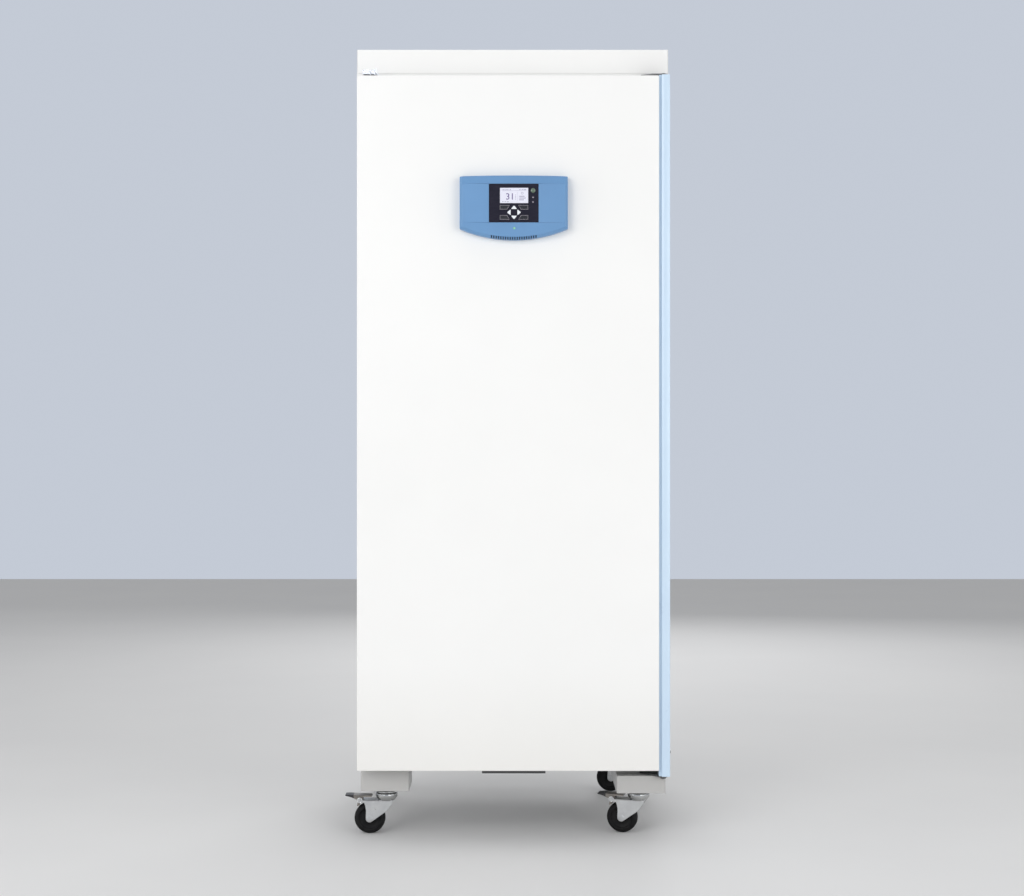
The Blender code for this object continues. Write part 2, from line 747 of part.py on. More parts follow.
def under_door_plate(root):
    """Folded plate under the front of the base pan, with two screw heads."""
    top = BODY_FOOT - GAP
    low = BODY_FOOT - FRONT_PLATE_DROP
    half = FRONT_PLATE_W / 2
    inner, rear = BODY_FRONT + FRONT_PLATE_T, BODY_FRONT + FRONT_PLATE_D
    side = [
        (BODY_FRONT, low), (inner, low), (inner, top - FRONT_PLATE_T), (rear, top - FRONT_PLATE_T),
        (rear, top), (BODY_FRONT, top),
    ]
    mesh = prism(side, "X", HOUSING_X - half, HOUSING_X + half)
    for side in (-1, 1):
        x = HOUSING_X + side * FRONT_PLATE_SCREW_PITCH / 2
        z = (low + top) / 2
        head = rod((x, BODY_FRONT + FRONT_PLATE_T / 2, z), (x, BODY_FRONT - SCREW_H, z), SCREW_R)
        mesh = join(mesh, head)
    return piece("under_door_plate", mesh, DARK_STEEL, root)


def hinge_outline(rear):
    """Plan of a hinge plate: wide at the body, narrowing to a round nose about the pivot."""
    outline = [(HALF_W - HINGE_W, rear), (HALF_W - HINGE_W, rear - 0.010)]
    outline += arc((PIVOT_X, PIVOT_Y), HINGE_NOSE_R, 215, 360, 8)
    outline += [(PIVOT_X + HINGE_NOSE_R, rear)]
    return outline


def hinge_bracket_bottom(root):
    """Lower hinge plate on the long block's shelf, with its pivot pin up and the pin's nut below."""
    rear = BODY_FRONT - HINGE_BLOCK_REACH + HINGE_SHELF_D - GAP
    low = HINGE_PLATE_TOP - PLATE
    plate = prism(hinge_outline(rear), "Z", low, HINGE_PLATE_TOP)
    pin = rod((PIVOT_X, PIVOT_Y, low - NUT_H), (PIVOT_X, PIVOT_Y, HINGE_PLATE_TOP + PIN_L), PIN_R, 24)
    nut = rod((PIVOT_X, PIVOT_Y, low - NUT_H * 0.8), (PIVOT_X, PIVOT_Y, low + 0.001), NUT_R, 6)
    return piece("hinge_bracket_bottom", join(plate, pin, nut), ZINC, root)


def hinge_bracket_top(root):
    """Upper hinge angle: a flange on the body's front and a plate over the door with its pin down."""
    rear = BODY_FRONT - GAP
    high = TOP_PLATE_Z + PLATE
    plate = prism(hinge_outline(rear), "Z", TOP_PLATE_Z, high)
    flange = block(
        (HALF_W - HINGE_W, rear - PLATE * 0.9, high - HINGE_FLANGE_H), (PIVOT_X + HINGE_NOSE_R, rear, high)
    )
    pin = rod((PIVOT_X, PIVOT_Y, TOP_PLATE_Z - PIN_L), (PIVOT_X, PIVOT_Y, high + 0.002), PIN_R, 24)
    mesh = join(plate, flange, pin)
    return piece("hinge_bracket_top", mesh, ZINC, root)


def lock_keeper(root):
    """Chrome strap on the body's front that reaches over the door, with two screws and a pivot for the tongue."""
    left = -HALF_W + LOCK_FROM_SIDE
    right = left + LOCK_W
    rear = BODY_FRONT - GAP
    leg_top = CROWN_BOTTOM - 0.001
    side = [
        (0.0, LOCK_BOTTOM), (rear, LOCK_BOTTOM), (rear, leg_top), (rear - LOCK_T, leg_top),
        (rear - LOCK_T, LOCK_BOTTOM + LOCK_T), (LOCK_T, LOCK_BOTTOM + LOCK_T),
        (LOCK_T, LOCK_BOTTOM + LOCK_H), (0.0, LOCK_BOTTOM + LOCK_H),
    ]
    mesh = prism(side, "X", left, right)
    for share in (0.15, 0.50):
        x = left + LOCK_W * share
        z = LOCK_BOTTOM + LOCK_H * 0.5
        mesh = join(mesh, rod((x, LOCK_T / 2, z), (x, -SCREW_H, z), SCREW_R))
    pin = rod((TONGUE_X, LOCK_T / 2, TONGUE_Z), (TONGUE_X, -2 * GAP - TONGUE_T - 0.001, TONGUE_Z), TONGUE_PIN_R, 16)
    return piece("lock_keeper", join(mesh, pin), CHROME, root)


def lock_tongue(root):
    """Tongue that stands up when the door is free and turns down in front of it to lock."""
    pivot = axis_empty("lock_axis", (TONGUE_X, 0.0, TONGUE_Z), root)
    half = TONGUE_W / 2
    tip = TONGUE_Z + TONGUE_R
    outline = arc((TONGUE_X, TONGUE_Z), half * 0.72, 200, 340, 8)
    outline += [(TONGUE_X + half, tip - 0.002), (TONGUE_X + half - 0.002, tip)]
    outline += [(TONGUE_X - half + 0.002, tip), (TONGUE_X - half, tip - 0.002)]
    hole = circle((TONGUE_X, TONGUE_Z), TONGUE_PIN_R + PIN_CLEARANCE, 16)
    mesh = prism(outline, "Y", -GAP - TONGUE_T, -GAP, [hole])
    return piece("lock_tongue", mesh, CHROME, pivot)


# Door

def door_skin(door):
    """Painted pan: front sheet with returns on four sides."""
    outer = rounded(DOOR_LEFT, DOOR_BOTTOM, DOOR_RIGHT, DOOR_TOP, DOOR_EDGE_R, 2)
    body = bevelled(prism(outer, "Y", 0.0, DOOR_T), DOOR_FACE_R, 1, 60)
    hollow = block((DOOR_LEFT + SHEET, SHEET, DOOR_BOTTOM + SHEET), (DOOR_RIGHT - SHEET, BODY_FRONT, DOOR_TOP - SHEET))
    behind = block((-BODY_W, DOOR_RETURN, 0.0), (BODY_W, BODY_FRONT, CROWN_TOP))
    return piece("door_skin", cut(body, hollow, behind), WHITE, door)


def plug_outline(inset):
    """The raised panel's outline on the door's inner side, moved inwards."""
    side = CHAMBER_X - PLUG_GAP - inset
    low, high = CHAMBER_FLOOR + PLUG_GAP + inset, CHAMBER_CEILING - PLUG_GAP - inset
    return rounded(-side, low, side, high, PLUG_R - inset, 3)


def door_core(wall, front):
    """What fills the door behind a wall of some thickness: a slab with a raised ring about a dished middle."""
    slab = block(
        (DOOR_LEFT + wall, front, DOOR_BOTTOM + wall), (DOOR_RIGHT - wall, DOOR_T - wall, DOOR_TOP - wall)
    )
    crest = DOOR_T + PLUG_D - wall
    raised = prism(plug_outline(wall), "Y", DOOR_T - wall - 0.001, crest)
    dish = prism(plug_outline(PLUG_RIM - wall), "Y", crest - PLUG_DISH, crest + 0.010)
    return cut(join(slab, raised), dish)


def door_insulation(door):
    wall = DOOR_LINER_T + GAP
    return piece("door_insulation", door_core(wall, SHEET + GAP), FOAM, door)


def door_liner(door):
    """Inner door panel with edges that meet the skin's returns, and a raised panel in the chamber's mouth."""
    outer = rounded(DOOR_LEFT, DOOR_BOTTOM, DOOR_RIGHT, DOOR_TOP, DOOR_EDGE_R, 2)
    edge = prism(outer, "Y", DOOR_RETURN + GAP, DOOR_T)
    plug = prism(plug_outline(0.0), "Y", DOOR_T - DOOR_LINER_T, DOOR_T + PLUG_D)
    dish = prism(plug_outline(PLUG_RIM), "Y", DOOR_T + PLUG_D - PLUG_DISH, DOOR_T + PLUG_D + 0.010)
    mesh = cut(join(edge, plug), dish, door_core(DOOR_LINER_T, 0.0))
    return piece("door_liner", mesh, LINER_WHITE, door)


def door_gasket(door):
    """Magnetic seal between the door and the front frame."""
    inner_x = CHAMBER_X + GASKET_OVERLAP
    low, high = CHAMBER_FLOOR - GASKET_OVERLAP, CHAMBER_CEILING + GASKET_OVERLAP
    outer = rounded(-inner_x - GASKET_W, low - GASKET_W, inner_x + GASKET_W, high + GASKET_W, 0.006, 2)
    inner = rounded(-inner_x, low, inner_x, high, 0.004, 2)
    mesh = prism(outer, "Y", DOOR_T + GAP, BODY_FRONT - GAP, [inner])
    return soften(piece("door_gasket", mesh, SEAL, door), 0.0015, 2, 60)


def hinge_trim(door):
    """Light blue profile along the hinge side, with a groove beside the panel and a bore for each pin."""
    bulge = []
    for i in range(9):
        t = i / 8
        x = TRIM_LEFT + TRIM_W * t
        bulge.append((x, TRIM_SET_BACK + TRIM_CROWN * (2 * t - 1) ** 2))
    outline = [(DOOR_RIGHT + GAP, TRIM_GROOVE_D), (TRIM_LEFT, TRIM_GROOVE_D)]
    outline += bulge
    outline += [(TRIM_RIGHT, TRIM_D - 0.004), (TRIM_RIGHT - 0.004, TRIM_D), (DOOR_RIGHT + GAP, TRIM_D)]
    mesh = prism(outline, "Z", TRIM_BOTTOM, TRIM_TOP)
    bore_r = PIN_R + PIN_CLEARANCE
    deep = PIN_L + 0.002
    low = rod((PIVOT_X, PIVOT_Y, TRIM_BOTTOM - 0.010), (PIVOT_X, PIVOT_Y, TRIM_BOTTOM + deep), bore_r, 24)
    high = rod((PIVOT_X, PIVOT_Y, TRIM_TOP + 0.010), (PIVOT_X, PIVOT_Y, TRIM_TOP - deep), bore_r, 24)
    return piece("hinge_trim", cut(mesh, low, high), LIGHT_BLUE, door)


# Control housing and what it holds

def housing_outline(grow):
    """Front outline of the housing, moved inwards by a negative grow: straight sides over a wide arc."""
    half = HOUSING_W / 2 + grow
    radius = ((HOUSING_W / 2) ** 2 + HOUSING_SAG ** 2) / (2 * HOUSING_SAG)
    centre = (HOUSING_X, HOUSING_SHOULDER - HOUSING_SAG + radius)
    reach = math.degrees(math.asin(half / (radius + grow)))
    top = HOUSING_TOP + grow
    points = arc(centre, radius + grow, 270 - reach, 270 + reach, 14)
    points.append((HOUSING_X + half, top))
    for share in (0.45, -0.45):
        points.append((HOUSING_X + half * share, top + HOUSING_TOP_RISE))
    points.append((HOUSING_X - half, top))
    return points


def housing_side(inward):
    """Side outline of the housing: flat in the middle, falling back above and below."""
    face = HOUSING_FACE + inward
    top = HOUSING_TOP + HOUSING_TOP_RISE + 0.010
    low = HOUSING_SHOULDER - HOUSING_SAG - 0.010
    top_fall = HOUSING_TOP_FALL * (top - HOUSING_FLAT_TOP) / (HOUSING_TOP - HOUSING_FLAT_TOP)
    drop = HOUSING_FLAT_BOTTOM - (HOUSING_SHOULDER - HOUSING_SAG)
    low_fall = HOUSING_BOTTOM_FALL * (HOUSING_FLAT_BOTTOM - low) / drop
    return [
        (0.016, low), (0.016, top), (face + top_fall, top), (face, HOUSING_FLAT_TOP),
        (face, HOUSING_FLAT_BOTTOM), (face + low_fall, low),
    ]


def housing_solid(grow, inward, rear):
    body = prism(housing_outline(grow), "Y", -HOUSING_D - 0.010, rear)
    wide = HOUSING_W
    return boolean(body, prism(housing_side(inward), "X", HOUSING_X - wide, HOUSING_X + wide), "INTERSECT")


def bevelled(mesh, width, segments, angle):
    """The mesh with its edges that are sharper than an angle rounded."""
    base = bpy.data.objects.new("base", flattened(mesh))
    bpy.context.collection.objects.link(base)
    soften(base, width, segments, angle)
    graph = bpy.context.evaluated_depsgraph_get()
    result = bpy.data.meshes.new_from_object(base.evaluated_get(graph))
    bpy.data.objects.remove(base)
    return result


def housing_vents():
    """Cutters for the row of slots through the lower front edge."""
    radius = ((HOUSING_W / 2) ** 2 + HOUSING_SAG ** 2) / (2 * HOUSING_SAG)
    cutters = []
    for i in range(VENT_COUNT):
        x = HOUSING_X + (i - (VENT_COUNT - 1) / 2) * VENT_PITCH
        drop = math.sqrt(radius ** 2 - (x - HOUSING_X) ** 2)
        low = HOUSING_SHOULDER - HOUSING_SAG + radius - drop
        front = HOUSING_FACE - 0.010
        cutters.append(block((x - VENT_W / 2, front, low + 0.0012), (x + VENT_W / 2, -0.016, low + VENT_H)))
    return cutters


def control_housing(door):
    """Blue moulded housing, hollow behind, with the display recess, bosses for the board and vents."""
    wide = HOUSING_W
    behind = block((-wide, -GAP, HOUSING_SHOULDER - wide), (wide, 0.030, HOUSING_TOP + wide))
    mesh = cut(bevelled(housing_solid(0.0, 0.0, 0.012), HOUSING_EDGE_R, 2, 50), behind)
    mesh = cut(mesh, housing_solid(-HOUSING_WALL, HOUSING_WALL + WINDOW_RECESS, 0.008))
    half_w, half_h = WINDOW_W / 2 + GAP, WINDOW_H / 2 + GAP
    recess = block(
        (HOUSING_X - half_w, HOUSING_FACE - 0.010, WINDOW_Z - half_h),
        (HOUSING_X + half_w, WINDOW_BACK + GAP, WINDOW_Z + half_h),
    )
    open_w, open_h = half_w - WINDOW_LEDGE, half_h - WINDOW_LEDGE
    opening = block(
        (HOUSING_X - open_w, HOUSING_FACE - 0.010, WINDOW_Z - open_h),
        (HOUSING_X + open_w, HOUSING_FACE + 0.010, WINDOW_Z + open_h),
    )
    mesh = cut(mesh, recess, opening)
    for side in (-1, 1):
        for rise in (-1, 1):
            x = HOUSING_X + side * (half_w - WINDOW_LEDGE / 2)
            z = WINDOW_Z + rise * (half_h - WINDOW_LEDGE - 0.004)
            boss = rod((x, WINDOW_BACK + 0.001, z), (x, BOARD_FRONT - GAP, z), 0.0018, 8)
            mesh = join(mesh, boss)
    mesh = cut(mesh, merged(housing_vents()))
    lamp_y = HOUSING_FACE
    lamp = rod((LAMP_X, lamp_y - 0.010, LAMP_Z), (LAMP_X, lamp_y + 0.012, LAMP_Z), LAMP_R + GAP, 16)
    return piece("control_housing", cut(mesh, lamp), BLUE, door)


def soft_key_outline(side, rise, grow):
    """Soft key: square outside, slanted on the end towards the arrows."""
    outer = KEY_SET_X + side * (SOFT_KEY_OUT + grow)
    long_end = outer - side * (SOFT_KEY_W + 2 * grow)
    short_end = long_end + side * SOFT_KEY_SLANT
    near = KEY_SET_Z + rise * (SOFT_KEY_UP - SOFT_KEY_H / 2 - grow)
    far = KEY_SET_Z + rise * (SOFT_KEY_UP + SOFT_KEY_H / 2 + grow)
    return [(outer, near), (outer, far), (long_end, far), (short_end, near)]


def arrow_outline(angle, grow):
    """Arrow key: a triangle with blunt corners that points away from the middle of the set."""
    out = ARROW_OUT
    half = ARROW_W / 2 + grow
    blunt = 0.0012
    local = [
        (out - grow, -half), (out - grow + blunt, -half), (out + ARROW_H + grow, -blunt),
        (out + ARROW_H + grow, blunt), (out - grow + blunt, half), (out - grow, half),
    ]
    c, s = math.cos(math.radians(angle)), math.sin(math.radians(angle))
    return [(KEY_SET_X + u * c - v * s, KEY_SET_Z + u * s + v * c) for u, v in local]


KEYS = {
    "key_soft_upper_left": lambda grow: soft_key_outline(-1, 1, grow),
    "key_soft_upper_right": lambda grow: soft_key_outline(1, 1, grow),
    "key_soft_lower_left": lambda grow: soft_key_outline(-1, -1, grow),
    "key_soft_lower_right": lambda grow: soft_key_outline(1, -1, grow),
    "key_up": lambda grow: arrow_outline(90, grow),
    "key_down": lambda grow: arrow_outline(270, grow),
    "key_left": lambda grow: arrow_outline(180, grow),
    "key_right": lambda grow: arrow_outline(0, grow),
}


def display_window(door):
    """Black front plate with openings for the display, the lens and each key."""
    half_w, half_h = WINDOW_W / 2, WINDOW_H / 2
    outline = rounded(HOUSING_X - half_w, WINDOW_Z - half_h, HOUSING_X + half_w, WINDOW_Z + half_h, 0.0015, 2)
    lcd = rectangle(
        LCD_X - LCD_W / 2 - GAP, LCD_Z - LCD_H / 2 - GAP, LCD_X + LCD_W / 2 + GAP, LCD_Z + LCD_H / 2 + GAP
    )
    holes = [lcd, circle((LENS_X, LENS_Z), LENS_R + GAP, 20)]
    holes += [outline_of(KEY_CLEARANCE) for outline_of in KEYS.values()]
    mesh = prism(outline, "Y", WINDOW_BACK - WINDOW_T, WINDOW_BACK, holes)
    return piece("display_window", mesh, BLACK, door)


def lcd_module(door):
    face = WINDOW_BACK - WINDOW_T + GAP
    half_w, half_h = LCD_W / 2, LCD_H / 2
    glass = block((LCD_X - half_w, face, LCD_Z - half_h), (LCD_X + half_w, BOARD_FRONT - GAP, LCD_Z + half_h))
    rim = 0.002
    back = block(
        (LCD_X - half_w - rim, WINDOW_BACK + GAP, LCD_Z - half_h - rim),
        (LCD_X + half_w + rim, BOARD_FRONT - GAP - 0.001, LCD_Z + half_h + rim),
    )
    return piece("lcd_module", join(glass, back), DISPLAY, door)


def keys(door):
    """Eight keys, each with its face through the window and a stem behind that stops short of the board."""
    for name, outline_of in KEYS.items():
        front = WINDOW_BACK - WINDOW_T - KEY_PROUD
        outline = outline_of(0.0)
        centre_u = sum(p[0] for p in outline) / len(outline)
        centre_v = sum(p[1] for p in outline) / len(outline)
        pivot = axis_empty(name + "_axis", (centre_u, front, centre_v), door)
        cap = prism(outline, "Y", front, WINDOW_BACK + 0.0008)
        stem_end = BOARD_FRONT - GAP - KEY_TRAVEL
        stem = rod((centre_u, WINDOW_BACK, centre_v), (centre_u, stem_end, centre_v), KEY_STEM, 6)
        finish = BLACK if "soft" in name else KEY_WHITE
        piece(name, join(cap, stem), finish, pivot)


def controller_board(door):
    margin = WINDOW_LEDGE - BOARD_MARGIN
    half_w, half_h = WINDOW_W / 2 - margin, WINDOW_H / 2 - margin
    mesh = block(
        (HOUSING_X - half_w, BOARD_FRONT, WINDOW_Z - half_h),
        (HOUSING_X + half_w, BOARD_FRONT + BOARD_T, WINDOW_Z + half_h),
    )
    chip = block(
        (HOUSING_X - 0.030, BOARD_FRONT + BOARD_T / 2, WINDOW_Z - 0.020),
        (HOUSING_X + 0.010, BOARD_FRONT + BOARD_T + 0.009, WINDOW_Z + 0.018),
    )
    return piece("controller_board", join(mesh, chip), BOARD, door)


def status_lens(door):
    """Round lens beside the display, with a shoulder behind the window."""
    front = WINDOW_BACK - WINDOW_T - 0.0004
    back = BOARD_FRONT - GAP
    profile = [
        (0.0, front - 0.0006), (LENS_R * 0.6, front - 0.0003), (LENS_R, front + 0.0004),
        (LENS_R, WINDOW_BACK + GAP), (LENS_R + 0.0015, WINDOW_BACK + GAP), (LENS_R + 0.0015, back), (0.0, back),
    ]
    mesh = turned(profile, "Y", (LENS_X, 0.0, LENS_Z), 20)
    return piece("status_lens", mesh, LENS, door)


def power_lamp(door):
    """Small domed lamp through the lower part of the housing."""
    fall = HOUSING_BOTTOM_FALL * (HOUSING_FLAT_BOTTOM - LAMP_Z) / (
        HOUSING_FLAT_BOTTOM - HOUSING_SHOULDER + HOUSING_SAG
    )
    face = HOUSING_FACE + fall
    back = HOUSING_FACE + fall + HOUSING_WALL + WINDOW_RECESS + 0.0009
    profile = [
        (0.0, face - 0.0009), (LAMP_R * 0.7, face - 0.0005), (LAMP_R, face + 0.0003),
        (LAMP_R, back), (LAMP_R + 0.001, back), (LAMP_R + 0.001, back + 0.004), (0.0, back + 0.004),
    ]
    return piece("power_lamp", turned(profile, "Y", (LAMP_X, 0.0, LAMP_Z), 16), LAMP, door)


# Inside the chamber

def runner_z(level):
    return LADDER_BOTTOM + 0.030 + level * LADDER_PITCH


def shelf_ladder(name, root, side):
    """Two slotted uprights on a side wall, joined by the runners that shelves rest on."""
    wall = side * (CHAMBER_X - GAP)
    face = wall - side * LADDER_STRIP_T
    inner = wall - side * RUNNER_W
    front = CHAMBER_FRONT + LADDER_FRONT
    rear = front + LADDER_DEPTH
    top = runner_z(LADDER_COUNT - 1) + 0.030
    span = sorted((wall, face))
    reach = sorted((wall - side * LADDER_STRIP_T * 0.5, inner))
    uprights = merged([
        block((span[0], y, LADDER_BOTTOM), (span[1], y + LADDER_STRIP_W, top))
        for y in (front, rear - LADDER_STRIP_W)
    ])
    runners = [
        block((reach[0], front - 0.004, runner_z(k)), (reach[1], rear + 0.004, runner_z(k) + RUNNER_T))
        for k in range(LADDER_COUNT)
    ]
    return piece(name, join(uprights, merged(runners)), STEEL, root)


def grid_shelf(name, root, level):
    """Flat grid of bars inside a rim, resting on a pair of runners."""
    side = CHAMBER_X - GAP - LADDER_STRIP_T - SHELF_SIDE_GAP
    front = CHAMBER_FRONT + LADDER_FRONT - 0.020
    rear = front + LADDER_DEPTH + 0.040
    low = runner_z(level) + RUNNER_T + GAP
    outline = rounded(-side, front, side, rear, 0.008, 3)
    holes = []
    clear_w = 2 * (side - SHELF_RIM)
    slot_w = (clear_w - (SHELF_SLOTS - 1) * SHELF_BAR) / SHELF_SLOTS
    bands = ((front + SHELF_RIM, (front + rear) / 2 - SHELF_BAR), ((front + rear) / 2 + SHELF_BAR, rear - SHELF_RIM))
    for k in range(SHELF_SLOTS):
        x = -side + SHELF_RIM + k * (slot_w + SHELF_BAR)
        holes += [rectangle(x, y0, x + slot_w, y1) for y0, y1 in bands]
    return piece(name, prism(outline, "Z", low, low + SHELF_T, holes), STEEL, root)


def air_duct(root):
    """Cover over the evaporator: a fan opening at the top and air slots below."""
    half = DUCT_W / 2
    low = STEP_TOP + DUCT_BOTTOM_LIFT
    body = block((-half, DUCT_FRONT, low), (half, CHAMBER_REAR - GAP, DUCT_TOP))
    hollow = block((-half + LINER_T, DUCT_FRONT + LINER_T, low - 0.010), (half - LINER_T, CHAMBER_REAR + 0.010, DUCT_TOP - LINER_T))
    fan_hole = rod((0.0, DUCT_FRONT - 0.010, FAN_Z), (0.0, DUCT_FRONT + 0.010, FAN_Z), FAN_R + FAN_RING_GAP, 32)
    slots = []
    for k in range(DUCT_SLOTS):
        z = low + 0.040 + k * (FAN_Z - FAN_R - 0.120 - low) / (DUCT_SLOTS - 1)
        slots.append(block((-DUCT_SLOT_W / 2, DUCT_FRONT - 0.010, z), (DUCT_SLOT_W / 2, DUCT_FRONT + 0.010, z + DUCT_SLOT_H)))
    return piece("air_duct", cut(body, hollow, fan_hole, merged(slots)), LINER_WHITE, root)


def fan_motor(root):
    """Motor on three arms behind the duct's fan opening."""
    back = CHAMBER_REAR - 0.012
    y0 = DUCT_FRONT + LINER_T + GAP
    reach = FAN_R + FAN_RING_GAP + 0.014
    face = y0 + FAN_MOTOR_SET
    rim = 0.08 * FAN_MOTOR_R
    mesh = turned(
        [(0.0, face), (FAN_MOTOR_R - rim, face), (FAN_MOTOR_R, face + rim), (FAN_MOTOR_R, back - rim),
         (FAN_MOTOR_R - rim, back), (0.0, back)],
        "Y", (0.0, 0.0, FAN_Z), 16,
    )
    for k in range(3):
        angle = math.radians(90 + 120 * k)
        out = Vector((math.cos(angle), 0.0, math.sin(angle)))
        centre = Vector((0.0, y0 + 0.0145, FAN_Z))
        foot = centre + out * reach
        mesh = join(mesh, rod(centre + out * 0.012, foot, 0.0022, 6, 10.0))
        mesh = join(mesh, rod((foot.x, centre.y + 0.0031, foot.z), (foot.x, y0, foot.z), 0.0032, 8, 11.0))
    return piece("fan_motor", mesh, DARK_STEEL, root)


def fan_rotor(root):
    """Axial rotor: a hub on the motor's axis with pitched blades, in the duct's opening."""
    y0 = DUCT_FRONT - FAN_LEAD
    y1 = DUCT_FRONT + LINER_T + FAN_MOTOR_SET
    rim = 0.2 * FAN_HUB_R
    pivot = axis_empty("fan_axis", (0.0, y0, FAN_Z), root)
    hub = turned([(0.0, y0), (FAN_HUB_R - rim, y0), (FAN_HUB_R, y0 + rim), (FAN_HUB_R, y1), (0.0, y1)],
                 "Y", (0.0, 0.0, FAN_Z), 16)
    inset = 0.09 * (y1 - y0)
    blades = []
    for k in range(FAN_BLADES):
        blades.append(fan_blade(360.0 * k / FAN_BLADES, y0 + inset, y1 - y0 - 2 * inset))
    return piece("fan_rotor", join(hub, merged(blades)), BLACK, pivot)


def fan_blade(centre, front, depth):
    """A thin blade that turns back as it sweeps round the hub, lofted in five steps across its chord."""
    steps = 4
    points = []
    for i in range(steps + 1):
        t = i / steps
        y = front + depth * (0.5 - 0.5 * math.cos(math.pi * t))
        angle = math.radians(centre + FAN_BLADE_SWEEP * (t - 0.5))
        for radius in (FAN_HUB_R * 0.85, FAN_R):
            lean = math.radians(6.0 * (radius / FAN_R))
            for off in (-FAN_BLADE_T / 2, FAN_BLADE_T / 2):
                x = radius * math.cos(angle + lean)
                z = FAN_Z + radius * math.sin(angle + lean)
                points.append((x, y + off, z))
    faces = []
    for i in range(steps):
        a, b = i * 4, i * 4 + 4
        for p, q in ((0, 1), (1, 3), (3, 2), (2, 0)):
            faces.append((a + p, a + q, b + q, b + p))
    last = steps * 4
    faces += [(0, 1, 3, 2), (last, last + 1, last + 3, last + 2)]
    return mesh_of(points, faces)


def heater_element(root):
    """Ring heater round the fan, clipped to the back of the duct."""
    y = DUCT_FRONT + LINER_T + GAP + HEATER_TUBE_R + 0.001
    path = [(u, y, FAN_Z + v) for u, v in arc((0.0, 0.0), HEATER_R, -60, 240, 20)]
    tail_drop = 0.050
    first, last = path[0], path[-1]
    path = [(first[0], y, first[2] - tail_drop)] + path + [(last[0], y, last[2] - tail_drop)]
    mesh = pipe(path, HEATER_TUBE_R, 6)
    for angle in (45.0, 135.0):
        a = math.radians(angle)
        x, z = HEATER_R * math.cos(a), FAN_Z + HEATER_R * math.sin(a)
        mesh = join(mesh, rod((x, y, z), (x, DUCT_FRONT + LINER_T + GAP, z), 0.0025, 8))
    return piece("heater_element", mesh, STEEL, root)


def temperature_probe(root):
    """Probe on two clips in front of the duct, below the fan."""
    z = FAN_Z - FAN_R - 0.070
    y = DUCT_FRONT - 0.010
    mesh = turned(
        [(0.0, -PROBE_L / 2), (PROBE_R * 0.7, -PROBE_L / 2), (PROBE_R, -PROBE_L / 2 + 0.002),
         (PROBE_R, PROBE_L / 2), (0.0, PROBE_L / 2)],
        "X", (0.0, y, z), 12,
    )
    for side in (-1, 1):
        x = side * PROBE_L * 0.3
        mesh = join(mesh, block((x - 0.003, y - 0.0045, z - 0.0045), (x + 0.003, DUCT_FRONT - GAP, z + 0.0045)))
    return piece("temperature_probe", mesh, STEEL, root)


def evaporator(root):
    """Cold plate behind the duct, with the raised serpentine channel of a roll-bonded panel."""
    y1 = CHAMBER_REAR - GAP - 0.004
    y0 = y1 - EVAPORATOR_T
    high = FAN_Z - FAN_R - 0.030
    low = high - EVAPORATOR_H
    half = EVAPORATOR_W / 2
    mesh = block((-half, y0, low), (half, y1, high))
    pitch = (EVAPORATOR_H - 0.080) / (EVAPORATOR_RUNS - 1)
    reach = half - 0.035
    path = serpentine(reach, low + 0.040, pitch, EVAPORATOR_RUNS, y0, 3)
    mesh = join(mesh, pipe(path, 0.0035, 6))
    for side in (-1, 1):
        for z in (low + 0.020, high - 0.020):
            foot = rod((side * (half - 0.015), y0 + 0.0005, z), (side * (half - 0.015), CHAMBER_REAR - GAP, z), 0.004, 8)
            mesh = join(mesh, foot)
    return piece("evaporator", mesh, ALUMINIUM, root)


def serpentine(reach, low, pitch, runs, y, steps):
    """Path that runs to and fro along x and climbs in z by half-circle bends."""
    path = []
    for k in range(runs):
        z = low + k * pitch
        way = 1 if k % 2 == 0 else -1
        path.append((-way * reach, y, z))
        path.append((way * reach, y, z))
        if k < runs - 1:
            for i in range(1, steps):
                angle = math.pi * (i / steps - 0.5)
                path.append((
                    way * (reach + pitch / 2 * math.cos(angle)), y, z + pitch / 2 * (1 + math.sin(angle)),
                ))
    return path


# Machine bay and rear

